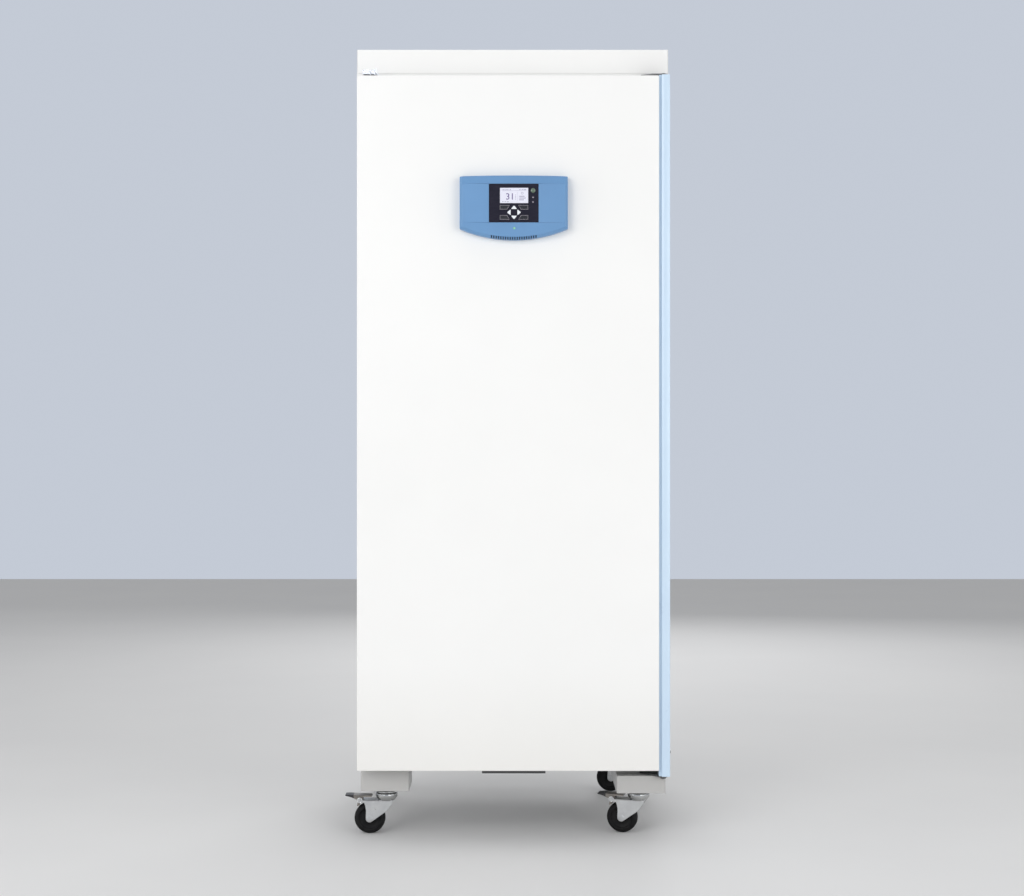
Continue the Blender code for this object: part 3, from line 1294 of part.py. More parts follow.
def compressor(root):
    """Hermetic compressor: a domed pot on a footed base plate, with its terminal cover and rubber mounts."""
    y = (BAY_FRONT + BODY_REAR) / 2
    z = BODY_FOOT + SHEET + GAP
    x, radius, seam = COMPRESSOR_X, COMPRESSOR_R, COMPRESSOR_SEAM
    foot_low = z + COMPRESSOR_MOUNT_H - 2 * PLATE
    half_w, half_d = COMPRESSOR_FOOT_W / 2, COMPRESSOR_FOOT_D / 2
    outline = rounded(x - half_w, y - half_d, x + half_w, y + half_d, COMPRESSOR_FOOT_R, 3)
    foot = prism(outline, "Z", foot_low, foot_low + PLATE)
    low, belt, shoulder = foot_low + PLATE * 0.7, z + COMPRESSOR_H * 0.52, z + COMPRESSOR_H * 0.67
    profile = [
        (0.0, low), (radius * 0.86, low), (radius, z + COMPRESSOR_H * 0.2), (radius, belt),
        (radius + seam, belt + seam / 2), (radius + seam, belt + seam * 2), (radius, belt + seam * 2.5),
    ]
    dome = z + COMPRESSOR_H - shoulder
    for i in range(4):
        a = math.radians(90.0 * i / 4)
        profile.append((radius * math.cos(a), shoulder + dome * math.sin(a)))
    profile.append((0.0, z + COMPRESSOR_H))
    pot = turned(profile, "Z", (x, y, 0.0), 18)
    middle = z + COMPRESSOR_H / 2
    terminal = block(
        (x + radius * 0.87, y - TERMINAL_W / 2, middle - TERMINAL_H / 2),
        (x + radius + TERMINAL_OUT, y + TERMINAL_W / 2, middle + TERMINAL_H / 2),
    )
    mesh = join(foot, pot, terminal)
    for sx in (-1, 1):
        for sy in (-1, 1):
            mount_x = x + sx * (half_w - COMPRESSOR_FOOT_R + 0.001)
            mount_y = y + sy * (half_d - COMPRESSOR_FOOT_R + 0.001)
            mesh = join(mesh, rod((mount_x, mount_y, z), (mount_x, mount_y, z + COMPRESSOR_MOUNT_H), COMPRESSOR_MOUNT_R, 8))
    return piece("compressor", mesh, BLACK, root)


def evaporation_tray(root):
    """Drip tray that sits on the compressor's dome."""
    y = (BAY_FRONT + BODY_REAR) / 2
    z = BODY_FOOT + SHEET + GAP + COMPRESSOR_H + GAP
    x0, x1 = COMPRESSOR_X - TRAY_W / 2, COMPRESSOR_X + TRAY_W / 2
    y0, y1 = y - TRAY_D / 2, y + TRAY_D / 2
    wall = TRAY_WALL
    body = prism(rounded(x0, y0, x1, y1, TRAY_R, 3), "Z", z, z + TRAY_H)
    inside = rounded(x0 + wall, y0 + wall, x1 - wall, y1 - wall, TRAY_R - wall, 3)
    hollow = prism(inside, "Z", z + wall, z + TRAY_H + 0.010)
    return piece("evaporation_tray", cut(body, hollow), BLACK, root)


def condenser(root):
    """Tube and strip condenser on the rear: a serpentine tube held by upright strips on four standoffs."""
    back = BODY_REAR - SHEET - GAP
    y = back + CONDENSER_STAND
    reach = CONDENSER_W / 2 - CONDENSER_PITCH / 2
    tube = pipe(serpentine(reach, CONDENSER_BOTTOM, CONDENSER_PITCH, CONDENSER_RUNS, y, 3), CONDENSER_TUBE_R, 6)
    high = CONDENSER_BOTTOM + CONDENSER_PITCH * (CONDENSER_RUNS - 1)
    strips = []
    for k in range(CONDENSER_STRIPS):
        x = -reach + 2 * reach * k / (CONDENSER_STRIPS - 1)
        strips.append(block((x - 0.002, y + 0.0012, CONDENSER_BOTTOM - 0.020), (x + 0.002, y + 0.0042, high + 0.020)))
    mesh = join(tube, merged(strips))
    for side in (-1, 1):
        for z in (CONDENSER_BOTTOM - 0.012, high + 0.012):
            mesh = join(mesh, rod((side * reach, y + 0.003, z), (side * reach, back + GAP, z), 0.005, 8))
    return piece("condenser", mesh, DARK_STEEL, root)


def mains_inlet(root):
    """Appliance inlet low on the rear panel, with its socket well and three pins."""
    x = CHAMBER_X - 0.060
    z = BAY_TOP + 0.050
    back = BODY_REAR - SHEET - GAP
    half_w, half_h = INLET_W / 2, INLET_H / 2
    body = prism(rounded(x - half_w, z - half_h, x + half_w, z + half_h, 0.004, 3), "Y", back + GAP, back + INLET_D)
    well = prism(
        rounded(x - half_w + 0.010, z - half_h + 0.005, x + half_w - 0.010, z + half_h - 0.005, 0.003, 2),
        "Y", back + 0.006, back + INLET_D + 0.010,
    )
    mesh = cut(body, well)
    for k in (-1, 0, 1):
        px, pz = x + k * 0.007, z + (0.002 if k == 0 else -0.002)
        mesh = join(mesh, block((px - 0.001, back + 0.004, pz - 0.002), (px + 0.001, back + INLET_D - 0.009, pz + 0.002)))
    return piece("mains_inlet", mesh, BLACK, root)


# Casters, built with the swivel axis at the origin and the wheel trailing along +X

def leg_outline():
    """Side outline of a fork leg: hollow-curved at the back, a round tip on the axle, straight in front."""
    back_top, neck, back_low = (0.057, FORK_TOP), (0.0475, 0.0640), (TRAIL + 0.0092, 0.0420)
    outline = []
    for i in range(5):
        t = i / 4
        u = (1 - t) ** 2 * back_top[0] + 2 * t * (1 - t) * (neck[0] - 0.001) + t ** 2 * back_low[0]
        v = (1 - t) ** 2 * back_top[1] + 2 * t * (1 - t) * (neck[1] + 0.004) + t ** 2 * back_low[1]
        outline.append((u, v))
    tip = arc((TRAIL, WHEEL_R), 0.0092, 0, -125, 5)
    return outline + tip + [(0.000, 0.0545), (-0.015, 0.0745), (-0.017, FORK_TOP)]


def caster_fork(name, swivel, braked):
    """Pressed fork with its swivel race, the wheel's axle, and ears and a pin for the pedal."""
    inner = WHEEL_W / 2 + LEG_GAP
    outer = inner + LEG_T
    legs = [prism(leg_outline(), "Y", *sorted((side * inner, side * outer))) for side in (-1, 1)]
    top = prism(rounded(-0.017, -outer, 0.057, outer, 0.006, 3), "Z", FORK_TOP - 0.0025, FORK_TOP)
    neck_top = RACE_SPLIT_Z - GAP
    neck = turned(
        [(0.0, FORK_TOP - 0.001), (RACE_R - 0.009, FORK_TOP - 0.001), (RACE_R - 0.003, FORK_TOP + 0.004),
         (RACE_R - 0.0015, neck_top - 0.002), (RACE_R - 0.003, neck_top), (0.0, neck_top)],
        "Z", (0.0, 0.0, 0.0), 20,
    )
    axle = rod((TRAIL, -outer - 0.0015, WHEEL_R), (TRAIL, outer + 0.0015, WHEEL_R), AXLE_R, 14)
    heads = [
        rod((TRAIL, side * (outer - 0.001), WHEEL_R), (TRAIL, side * (outer + 0.003), WHEEL_R), 0.0065, 6)
        for side in (-1, 1)
    ]
    mesh = join(top, merged(legs), neck, axle, merged(heads))
    if braked:
        ears = [
            prism(circle((PEDAL_U - 0.001, PEDAL_Z - 0.002), 0.0075, 10), "Y", *sorted((side * inner, side * outer)))
            for side in (-1, 1)
        ]
        bridge = [
            block((0.045, min(side * inner, side * outer), FORK_TOP - 0.012), (0.062, max(side * inner, side * outer), FORK_TOP))
            for side in (-1, 1)
        ]
        pin = rod((PEDAL_U, -outer - 0.001, PEDAL_Z), (PEDAL_U, outer + 0.001, PEDAL_Z), PEDAL_PIN_R, 10)
        mesh = join(mesh, merged(bridge), merged(ears), pin)
    return piece(name, mesh, ZINC, swivel)


def caster_wheel(name, roll):
    """Solid wheel with a crowned tread, sunk sides, a hub and the axle's bore; a flat of the tread is lowest."""
    half = WHEEL_W / 2
    tread = WHEEL_R / math.cos(math.pi / WHEEL_SIDES)
    bore = AXLE_R + AXLE_CLEARANCE
    side = [(bore, half), (0.0120, half), (0.0270, half - 0.0030), (0.0300, half - 0.0005), (tread, half - 0.0050)]
    profile = side + [(r, -w) for r, w in reversed(side)]
    mesh = turned(profile, "Y", (TRAIL, 0.0, WHEEL_R), WHEEL_SIDES, 180.0 / WHEEL_SIDES)
    return piece(name, mesh, TYRE, roll)


def shoe_corner(angle):
    """A corner of the brake shoe at rest, which lies close to the tyre when the pedal is pressed down."""
    reach = WHEEL_R / math.cos(math.pi / WHEEL_SIDES) + SHOE_CLEARANCE
    a, back = math.radians(angle), math.radians(PEDAL_TRAVEL)
    u, v = TRAIL + reach * math.cos(a) - PEDAL_U, WHEEL_R + reach * math.sin(a) - PEDAL_Z
    return (PEDAL_U + u * math.cos(back) - v * math.sin(back), PEDAL_Z + u * math.sin(back) + v * math.cos(back))


def brake_pedal(name, pivot):
    """Pedal on its barrel: the tread reaches out, an arm lies over the fork, and a shoe hangs by the wheel."""
    half = WHEEL_W / 2 + LEG_GAP - 0.0006
    bore = circle((PEDAL_U, PEDAL_Z), PEDAL_PIN_R + PIN_CLEARANCE, 14)
    tip_z = PEDAL_Z + PEDAL_RISE
    outline = arc((PEDAL_U, PEDAL_Z), PEDAL_BARREL_R, 190, 250, 4)
    outline += [shoe_corner(57.0), shoe_corner(47.0)]
    outline += arc((PEDAL_U, PEDAL_Z), PEDAL_BARREL_R, -35, 5, 3)
    outline += [(PEDAL_REACH - 0.014, tip_z - 0.0055), (PEDAL_REACH, tip_z - 0.0020), (PEDAL_REACH, tip_z)]
    outline += [(PEDAL_REACH - 0.012, tip_z + 0.0005), (PEDAL_U + 0.002, tip_z - 0.001)]
    outline += [(0.0360, tip_z - 0.0015), (0.0345, tip_z - 0.0045), (PEDAL_U - 0.008, tip_z - 0.0050)]
    mesh = prism(outline, "Y", -half, half, [bore])
    return piece(name, mesh, BLACK, pivot)


def caster(place, root, x, y, turn, braked):
    """One caster: the fork turns on its vertical axis, and the wheel and pedal ride on the fork."""
    swivel = axis_empty("swivel_" + place, (0.0, 0.0, 0.0), root)
    roll = axis_empty("roll_" + place, (TRAIL, 0.0, WHEEL_R), swivel)
    caster_fork("caster_fork_" + place, swivel, braked)
    caster_wheel("caster_wheel_" + place, roll)
    if braked:
        pedal = axis_empty("pedal_axis_" + place, (PEDAL_U, 0.0, PEDAL_Z), swivel)
        brake_pedal("brake_pedal_" + place, pedal)
    swivel.location = (x, y, 0.0)
    swivel.rotation_euler = (0.0, 0.0, math.radians(turn))
    bpy.context.view_layer.update()


def casters(root):
    for place, turn in TRAIL_ANGLES.items():
        x = CASTER_X if place.endswith("right") else -CASTER_X
        y = CASTER_FRONT_Y if place.startswith("front") else CASTER_FRONT_Y + CASTER_PITCH_Y
        caster(place, root, x, y, turn, place.startswith("front"))


# The whole incubator

def clear_scene():
    for old in list(bpy.data.objects):
        bpy.data.objects.remove(old)


def centre_on_floor(root):
    """Moves the model so that the middle of its footprint is at the origin."""
    bpy.context.view_layer.update()
    graph = bpy.context.evaluated_depsgraph_get()
    xs, ys = [], []
    for made in bpy.data.objects:
        if made.type != "MESH":
            continue
        mesh = made.evaluated_get(graph).data
        for vertex in mesh.vertices:
            place = made.matrix_world @ vertex.co
            xs.append(place.x)
            ys.append(place.y)
    root.location = (-(min(xs) + max(xs)) / 2, -(min(ys) + max(ys)) / 2, 0.0)
    bpy.context.view_layer.update()


def build():
    clear_scene()
    root = axis_empty("incubator", (0.0, 0.0, 0.0), None)
    outer_shell(root)
    top_cover(root)
    base_pan(root)
    rear_panel(root)
    chamber_liner(root)
    cabinet_insulation(root)
    front_frame(root)
    caster_mounts(root)
    under_door_plate(root)
    hinge_bracket_bottom(root)
    hinge_bracket_top(root)
    lock_keeper(root)
    lock_tongue(root)

    door = axis_empty("door_axis", (PIVOT_X, PIVOT_Y, 0.0), root)
    door_skin(door)
    door_insulation(door)
    door_liner(door)
    door_gasket(door)
    hinge_trim(door)
    control_housing(door)
    display_window(door)
    lcd_module(door)
    controller_board(door)
    status_lens(door)
    power_lamp(door)
    keys(door)

    shelf_ladder("shelf_ladder_left", root, -1)
    shelf_ladder("shelf_ladder_right", root, 1)
    for number, level in enumerate(SHELF_LEVELS, 1):
        grid_shelf(f"grid_shelf_{number}", root, level)
    air_duct(root)
    fan_motor(root)
    fan_rotor(root)
    heater_element(root)
    temperature_probe(root)
    evaporator(root)

    compressor(root)
    evaporation_tray(root)
    condenser(root)
    mains_inlet(root)
    casters(root)
    centre_on_floor(root)


build()
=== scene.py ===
"""The look of the refrigerated incubator: a white cabinet with a blue control housing, on four casters.

Every piece is made in metres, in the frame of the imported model, and rides on one of its bodies.
"""

import math

import bmesh
import bpy
from mathutils import Matrix, Vector
from mathutils.geometry import tessellate_polygon
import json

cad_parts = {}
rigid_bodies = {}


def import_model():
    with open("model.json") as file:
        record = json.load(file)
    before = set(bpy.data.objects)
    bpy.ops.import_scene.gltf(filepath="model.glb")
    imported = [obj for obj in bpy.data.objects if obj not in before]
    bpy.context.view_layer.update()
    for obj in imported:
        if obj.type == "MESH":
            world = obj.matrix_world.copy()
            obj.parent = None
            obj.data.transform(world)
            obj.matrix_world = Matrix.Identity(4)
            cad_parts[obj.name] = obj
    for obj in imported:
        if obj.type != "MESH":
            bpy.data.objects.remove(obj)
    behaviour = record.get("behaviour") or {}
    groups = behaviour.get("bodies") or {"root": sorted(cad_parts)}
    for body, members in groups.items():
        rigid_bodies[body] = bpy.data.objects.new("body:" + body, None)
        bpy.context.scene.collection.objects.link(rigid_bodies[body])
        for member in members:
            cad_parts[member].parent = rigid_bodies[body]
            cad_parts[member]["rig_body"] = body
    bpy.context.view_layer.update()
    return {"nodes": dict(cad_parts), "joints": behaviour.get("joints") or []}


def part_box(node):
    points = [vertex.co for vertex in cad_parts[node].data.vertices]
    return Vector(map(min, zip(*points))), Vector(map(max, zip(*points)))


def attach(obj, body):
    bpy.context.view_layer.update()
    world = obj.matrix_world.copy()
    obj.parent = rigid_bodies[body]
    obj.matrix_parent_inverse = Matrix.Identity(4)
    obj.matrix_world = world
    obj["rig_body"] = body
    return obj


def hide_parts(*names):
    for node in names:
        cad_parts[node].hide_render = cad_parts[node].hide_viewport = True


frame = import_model()
NODES = frame["nodes"]
JOINTS = {joint["name"]: joint for joint in frame["joints"]}

WELD = 0.00001           # loose triangles of a CAD mesh closer than this are joined
FINE = 0.0001            # how far a printed mark stands on its surface


# Ways that a shape made along +Z can be turned to face
FORWARD, BACKWARD = (0.0, -1.0, 0.0), (0.0, 1.0, 0.0)
RIGHTWARD, DOWNWARD = (1.0, 0.0, 0.0), (0.0, 0.0, -1.0)


# Camera, at the photograph's distance and height
CAMERA_PLACE = (0.01095, -4.66425, 0.967)
CAMERA_LENS = 64.35
CAMERA_SENSOR = 36.0
CAMERA_SHIFT_Y = -0.0146

# Casters, built about the swivel axis with the wheel trailing along +X
WHEEL_R = 0.0375
WHEEL_HALF_W = 0.0135
TRAIL = 0.040
LEG_INNER = 0.0155
LEG_OUTER = 0.0180
FORK_TOP = 0.0815
RACE_SPLIT_Z = 0.0985
RACE_R = 0.028
PLATE_LOW = 0.107
PEDAL_U = 0.064
TREAD_U = 0.0785
TREAD_TOP = 0.0941
ROLL_V = 0.0195
BOLT_REACH = 0.0245
PLACES = ("front_left", "front_right", "rear_left", "rear_right")


# Stud in the right side, at the face of the shell
STUD_SEAT = (0.38495, -0.27225, 0.202)


# Outlines and meshes

def rectangle(u0, v0, u1, v1):
    return [(u0, v0), (u1, v0), (u1, v1), (u0, v1)]


def arc(centre, radius, start, end, steps):
    """Points on an arc from start to end, in degrees."""
    points = []
    for i in range(steps + 1):
        angle = math.radians(start + (end - start) * i / steps)
        points.append((centre[0] + radius * math.cos(angle), centre[1] + radius * math.sin(angle)))
    return points


def rounded(u0, v0, u1, v1, radius, steps=6):
    """A rectangle with round corners."""
    points = arc((u1 - radius, v0 + radius), radius, -90, 0, steps)
    points += arc((u1 - radius, v1 - radius), radius, 0, 90, steps)
    points += arc((u0 + radius, v1 - radius), radius, 90, 180, steps)
    points += arc((u0 + radius, v0 + radius), radius, 180, 270, steps)
    return points


def to_space(axis, u, v, w):
    return {"X": (w, u, v), "Y": (u, w, v), "Z": (u, v, w)}[axis]


def linked(name, data):
    """A new object in the scene."""
    thing = bpy.data.objects.new(name, data)
    bpy.context.collection.objects.link(thing)
    return thing


def plain_mesh(holder):
    """The mesh that an object comes to with its modifiers. The object itself goes."""
    graph = bpy.context.evaluated_depsgraph_get()
    mesh = bpy.data.meshes.new_from_object(holder.evaluated_get(graph))
    bpy.data.objects.remove(holder)
    return mesh


def bm_of(*meshes):
    bm = bmesh.new()
    for mesh in meshes:
        bm.from_mesh(mesh)
    return bm


def mesh_from(bm):
    mesh = bpy.data.meshes.new("shape")
    bm.to_mesh(mesh)
    bm.free()
    return mesh


def mesh_of(points, faces, outwards=True):
    bm = bmesh.new()
    vertices = [bm.verts.new(p) for p in points]
    for face in faces:
        bm.faces.new([vertices[i] for i in face])
    if outwards:
        bmesh.ops.recalc_face_normals(bm, faces=bm.faces)
    return mesh_from(bm)


def prism(outline, axis, low, high, holes=()):
    """An outline, with any holes, drawn out along an axis."""
    rings = [outline, *holes]
    flat = [(u, v) for ring in rings for u, v in ring]
    count = len(flat)
    points = [to_space(axis, u, v, w) for w in (low, high) for u, v in flat]
    if holes:
        caps = tessellate_polygon([[Vector((u, v, 0.0)) for u, v in ring] for ring in rings])
        faces = [tuple(t) for t in caps]
    else:
        faces = [tuple(range(count))]
    faces += [tuple(i + count for i in face) for face in faces]
    start = 0
    for ring in rings:
        size = len(ring)
        for i in range(size):
            a, b = start + i, start + (i + 1) % size
            faces.append((a, b, b + count, a + count))
        start += size
    return mesh_of(points, faces)


def inset(outline, distance):
    """An outline that runs anticlockwise, moved inwards."""
    points = []
    for i in range(len(outline)):
        before, here, after = (Vector(outline[k % len(outline)]) for k in (i - 1, i, i + 1))
        first, second = (here - before).normalized(), (after - here).normalized()
        way = Vector((-first.y - second.y, first.x + second.x)) / (1 + first.dot(second))
        points.append(tuple(here + way * distance))
    return points


def lofted(rings, axis):
    """Outlines of equal length, each (points, height), joined in turn and closed at both ends."""
    count = len(rings[0][0])
    points = [to_space(axis, u, v, height) for outline, height in rings for u, v in outline]
    faces = [tuple(range(count)), tuple(range(len(points) - count, len(points)))]
    for k in range(len(rings) - 1):
        for i in range(count):
            a, b = k * count + i, k * count + (i + 1) % count
            faces.append((a, b, b + count, a + count))
    return mesh_of(points, faces)


def pillowed(outline, axis, low, high, radius, steps=4):
    """An outline drawn out along an axis, with both of its rims rounded."""
    rings = []
    for k in range(steps + 1):
        turn = math.pi / 2 * k / steps
        rings.append((radius * (1 - math.sin(turn)), low + radius * (1 - math.cos(turn))))
    rings += [(depth, low + high - place) for depth, place in reversed(rings)]
    return lofted([(inset(outline, depth), place) for depth, place in rings], axis)


def box(low, high):
    return prism(rectangle(low[0], low[1], high[0], high[1]), "Z", low[2], high[2])


def lathe(profile, steps, closed=False):
    """A (radius, height) profile turned about Z. A closed profile is a ring with a bore."""
    points = []
    rows = []
    for radius, height in profile:
        row = []
        for i in range(steps if radius > 0 else 1):
            angle = 2 * math.pi * i / steps
            row.append(len(points))
            points.append((radius * math.cos(angle), radius * math.sin(angle), height))
        rows.append(row)
    pairs = list(zip(rows, rows[1:]))
    if closed:
        pairs.append((rows[-1], rows[0]))
    faces = []
    for here, after in pairs:
        if len(here) == 1 and len(after) == 1:
            continue
        for i in range(steps):
            j = (i + 1) % steps
            ring = [here[i % len(here)], here[j % len(here)], after[j % len(after)], after[i % len(after)]]
            faces.append(tuple(dict.fromkeys(ring)))
    return mesh_of(points, faces)


def tube(path, radius, steps=10, closed=False):
    """A round tube along any path."""
    path = [Vector(p) for p in path]
    count = len(path)
    side = Vector((0.0, 0.0, 1.0))
    points = []
    for i, point in enumerate(path):
        before = path[i - 1] if closed or i > 0 else path[i]
        after = path[(i + 1) % count] if closed or i < count - 1 else path[i]
        way = (after - before).normalized()
        if abs(side.dot(way)) > 0.95 and i == 0:
            side = Vector((1.0, 0.0, 0.0))
        side = (side - way * side.dot(way)).normalized()
        other = way.cross(side)
        for k in range(steps):
            angle = 2 * math.pi * k / steps
            points.append(point + (side * math.cos(angle) + other * math.sin(angle)) * radius)
    faces = []
    for i in range(count if closed else count - 1):
        a, b = i * steps, ((i + 1) % count) * steps
        for k in range(steps):
            n = (k + 1) % steps
            faces.append((a + k, a + n, b + n, b + k))
    if not closed:
        faces.append(tuple(range(steps)))
        faces.append(tuple(range((count - 1) * steps, count * steps)))
    return mesh_of(points, faces)


def together(*meshes):
    return mesh_from(bm_of(*meshes))


def moved(mesh, matrix):
    mesh = mesh.copy()
    mesh.transform(matrix)
    return mesh


def facing(place, way=None):
    """A matrix that puts a shape made along +Z at a place, turned to point a way if one is given."""
    spot = Matrix.Translation(Vector(place))
    return spot @ Vector(way).to_track_quat("Z", "Y").to_matrix().to_4x4() if way else spot


def baked(mesh, *modifiers):
    """The mesh with modifiers applied, each given as (type, settings)."""
    holder = linked("holder", mesh)
    for kind, settings in modifiers:
        modifier = holder.modifiers.new(kind.lower(), kind)
        for name, value in settings.items():
            setattr(modifier, name, value)
    return plain_mesh(holder)


def softened(mesh, width, segments=2, angle=40.0):
    """The mesh with its edges rounded, and normals that keep its flat faces flat."""
    mesh.shade_smooth()
    return baked(
        mesh,
        ("BEVEL", {
            "width": width, "segments": segments, "limit_method": "ANGLE",
            "angle_limit": math.radians(angle), "use_clamp_overlap": True,
        }),
        ("WEIGHTED_NORMAL", {"keep_sharp": True}),
    )


def smoothed(mesh, angle=35.0):
    mesh.shade_smooth()
    mesh.set_sharp_from_angle(angle=math.radians(angle))
    return mesh


def faired(mesh, angle=35.0):
    """Smooth across soft edges, with normals that keep the flat faces flat."""
    return baked(smoothed(mesh, angle), ("WEIGHTED_NORMAL", {"keep_sharp": True}))


def turned(profile, steps, place=(0.0, 0.0, 0.0), way=None, angle=40):
    """A profile turned about Z and made smooth, then put at a place."""
    return moved(smoothed(lathe(profile, steps), angle), facing(place, way))


def cut(mesh, *tools):
    """The mesh less some others."""
    for tool in tools:
        cutter = linked("cutter", tool)
        mesh = baked(mesh, ("BOOLEAN", {"operation": "DIFFERENCE", "solver": "EXACT", "object": cutter}))
        bpy.data.objects.remove(cutter)
    return mesh


def welded(node):
    """A copy of a CAD node's mesh, its loose triangles joined and its flat faces made whole."""
    bm = bm_of(NODES[node].data)
    bmesh.ops.remove_doubles(bm, verts=bm.verts, dist=WELD)
    bmesh.ops.dissolve_limit(bm, angle_limit=math.radians(0.4), verts=bm.verts, edges=bm.edges)
    return mesh_from(bm)


def middle_of(node):
    low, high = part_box(node)
    return (Vector(low) + Vector(high)) / 2


def body_of(node):
    return NODES[node]["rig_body"]


def add_piece(name, mesh, finish, body, replaced=()):
    """A finished piece that rides on a body and may stand for CAD nodes."""
    mesh.name = name
    mesh.materials.clear()
    mesh.materials.append(finish)
    piece = linked(name, mesh)
    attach(piece, body)
    if replaced:
        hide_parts(*replaced)


def stand_in(name, mesh, node):
    """A piece that takes a CAD node's place, with that node's finish and body."""
    finish, slot = NODE_FINISH[node]
    add_piece(name, mesh, finish, body_of(node), (node,))


def detailed(name, node, width, segments=2, angle=40.0):
    """A CAD node again, with its edges rounded as the real piece's are."""
    stand_in(name, softened(welded(node), width, segments, angle), node)


# Finishes. A recipe is (function, its settings), where a setting may be a recipe too.

def feed(tree, socket, value):
    """Link a socket to another, or set it to a value."""
    if isinstance(value, bpy.types.NodeSocket):
        tree.links.new(value, socket)
    else:
        socket.default_value = value


def new_node(tree, kind, **values):
    """A node with its inputs fed by name."""
    node = tree.nodes.new(kind)
    for label, value in values.items():
        feed(tree, node.inputs[label.replace("_", " ")], value)
    return node


def made(tree, recipe):
    """The socket that a recipe gives. Anything else is given back as it is."""
    if isinstance(recipe, tuple) and callable(recipe[0]):
        return recipe[0](tree, *[made(tree, setting) for setting in recipe[1:]])
    return recipe


def place_of(tree, stretch=(1.0, 1.0, 1.0)):
    """Object coordinates, stretched."""
    place = tree.nodes.new("ShaderNodeTexCoord").outputs["Object"]
    return new_node(tree, "ShaderNodeMapping", Scale=stretch, Vector=place).outputs["Vector"]


def noise(tree, scale, detail=3.0, stretch=(1.0, 1.0, 1.0), distortion=0.0):
    settings = {"Scale": scale, "Detail": detail, "Distortion": distortion}
    return new_node(tree, "ShaderNodeTexNoise", Vector=place_of(tree, stretch), **settings).outputs["Fac"]


def cells(tree, scale, feature="F1", output="Distance", stretch=(1.0, 1.0, 1.0)):
    texture = new_node(tree, "ShaderNodeTexVoronoi", Scale=scale, Vector=place_of(tree, stretch))
    texture.feature = feature
    return texture.outputs[output]


def altitude(tree):
    return new_node(tree, "ShaderNodeSeparateXYZ", Vector=place_of(tree)).outputs["Z"]


def spread(tree, value, low, high, start=0.3, end=0.7):
    """A value between start and end, spread to between low and high."""
    ends = {"From_Min": start, "From_Max": end, "To_Min": low, "To_Max": high}
    return new_node(tree, "ShaderNodeMapRange", Value=value, **ends).outputs["Result"]


def blend(tree, share, first, second, way="MIX"):
    """Two colours, or sockets, blended by a share."""
    node = new_node(tree, "ShaderNodeMix", Factor=share)
    node.data_type = "RGBA"
    node.blend_type = way
    for label, colour in (("A", first), ("B", second)):
        target = [s for s in node.inputs if s.name == label and s.type == "RGBA"][0]
        feed(tree, target, colour if isinstance(colour, bpy.types.NodeSocket) else (*colour, 1.0))
    return [s for s in node.outputs if s.type == "RGBA"][0]


def tone(texture, first, second, *ends):
    """The recipe for two colours that follow a texture."""
    return (blend, (spread, texture, 0.0, 1.0, *ends), first, second)


def shaded(colour, share):
    return [c * share for c in colour]


def new_finish(name, colour, roughness, base, polish, *layers, metallic=0.0, **settings):
    """A material with recipes for its colour and roughness, and bumps of (recipe, strength, distance)."""
    finish = bpy.data.materials.new(name)
    finish.use_nodes = True
    finish.diffuse_color = (*colour, 1.0)
    tree = finish.node_tree
    shader = tree.nodes["Principled BSDF"]
    values = {"Base Color": (*colour, 1.0), "Roughness": roughness, "Metallic": metallic, **settings}
    for label, value in values.items():
        shader.inputs[label.replace("_", " ")].default_value = value
    feed(tree, shader.inputs["Base Color"], made(tree, base))
    feed(tree, shader.inputs["Roughness"], made(tree, polish))
    below = {}
    for height, strength, distance in layers:
        relief = {"Height": made(tree, height), "Strength": strength, "Distance": distance, **below}
        below = {"Normal": new_node(tree, "ShaderNodeBump", **relief).outputs["Normal"]}
    if layers:
        feed(tree, shader.inputs["Normal"], below["Normal"])
    return finish


DUST_SPAN = (0.10, 0.42)     # heights between which the dust on a coat fades out


def powder_coat(name, colour, dusty):
    """Satin powder coat: soft orange peel, faint tone changes, and a little dust low down."""
    dust = (blend, (spread, (altitude,), 0.0, 1.0, *DUST_SPAN), dusty, (1.0, 1.0, 1.0))
    patches = tone((noise, 2.2, 2.0), colour, shaded(colour, 0.975))
    return new_finish(
        name, colour, 0.36, (blend, 1.0, patches, dust, "MULTIPLY"), (spread, (noise, 14.0, 4.0), 0.30, 0.42),
        ((noise, 330.0, 2.0), 0.10, 0.0003), ((noise, 1900.0, 2.0), 0.05, 0.0001),
    )


def moulded(name, colour, roughness, grain=1500.0, depth=0.12, shade=0.90):
    """Moulded plastic with a fine spark-eroded texture."""
    return new_finish(
        name, colour, roughness, tone((noise, 9.0), colour, shaded(colour, shade)),
        (spread, (noise, 40.0, 4.0), roughness * 0.86, roughness * 1.14),
        ((noise, grain), depth, 0.0002), ((noise, 55.0, 2.0), depth / 4, 0.0004),
    )


def plated(name, bright, dull, roughness, crystal=260.0):
    """Zinc plating: pale crystals of slightly different tone, and fine drawing marks."""
    crystals = tone((cells, crystal, "F1", "Color"), bright, shaded(bright, 0.93), 0.1, 0.9)
    return new_finish(
        name, bright, roughness, tone((noise, 32.0, 5.0), crystals, dull),
        (spread, (noise, 90.0, 5.0), roughness * 0.8, roughness * 1.25),
        ((noise, 900.0), 0.08, 0.0002), ((cells, crystal), 0.04, 0.0003), metallic=0.92,
    )


def brushed(name, colour, roughness, stretch, shade=0.88):
    """Brushed metal: fine lines along one direction, with uneven polish."""
    lines = (noise, 60.0, 6.0, stretch)
    return new_finish(
        name, colour, roughness, tone(lines, colour, shaded(colour, shade)),
        (spread, (noise, 22.0, 4.0), roughness * 0.8, roughness * 1.25), (lines, 0.06, 0.0002), metallic=1.0,
    )


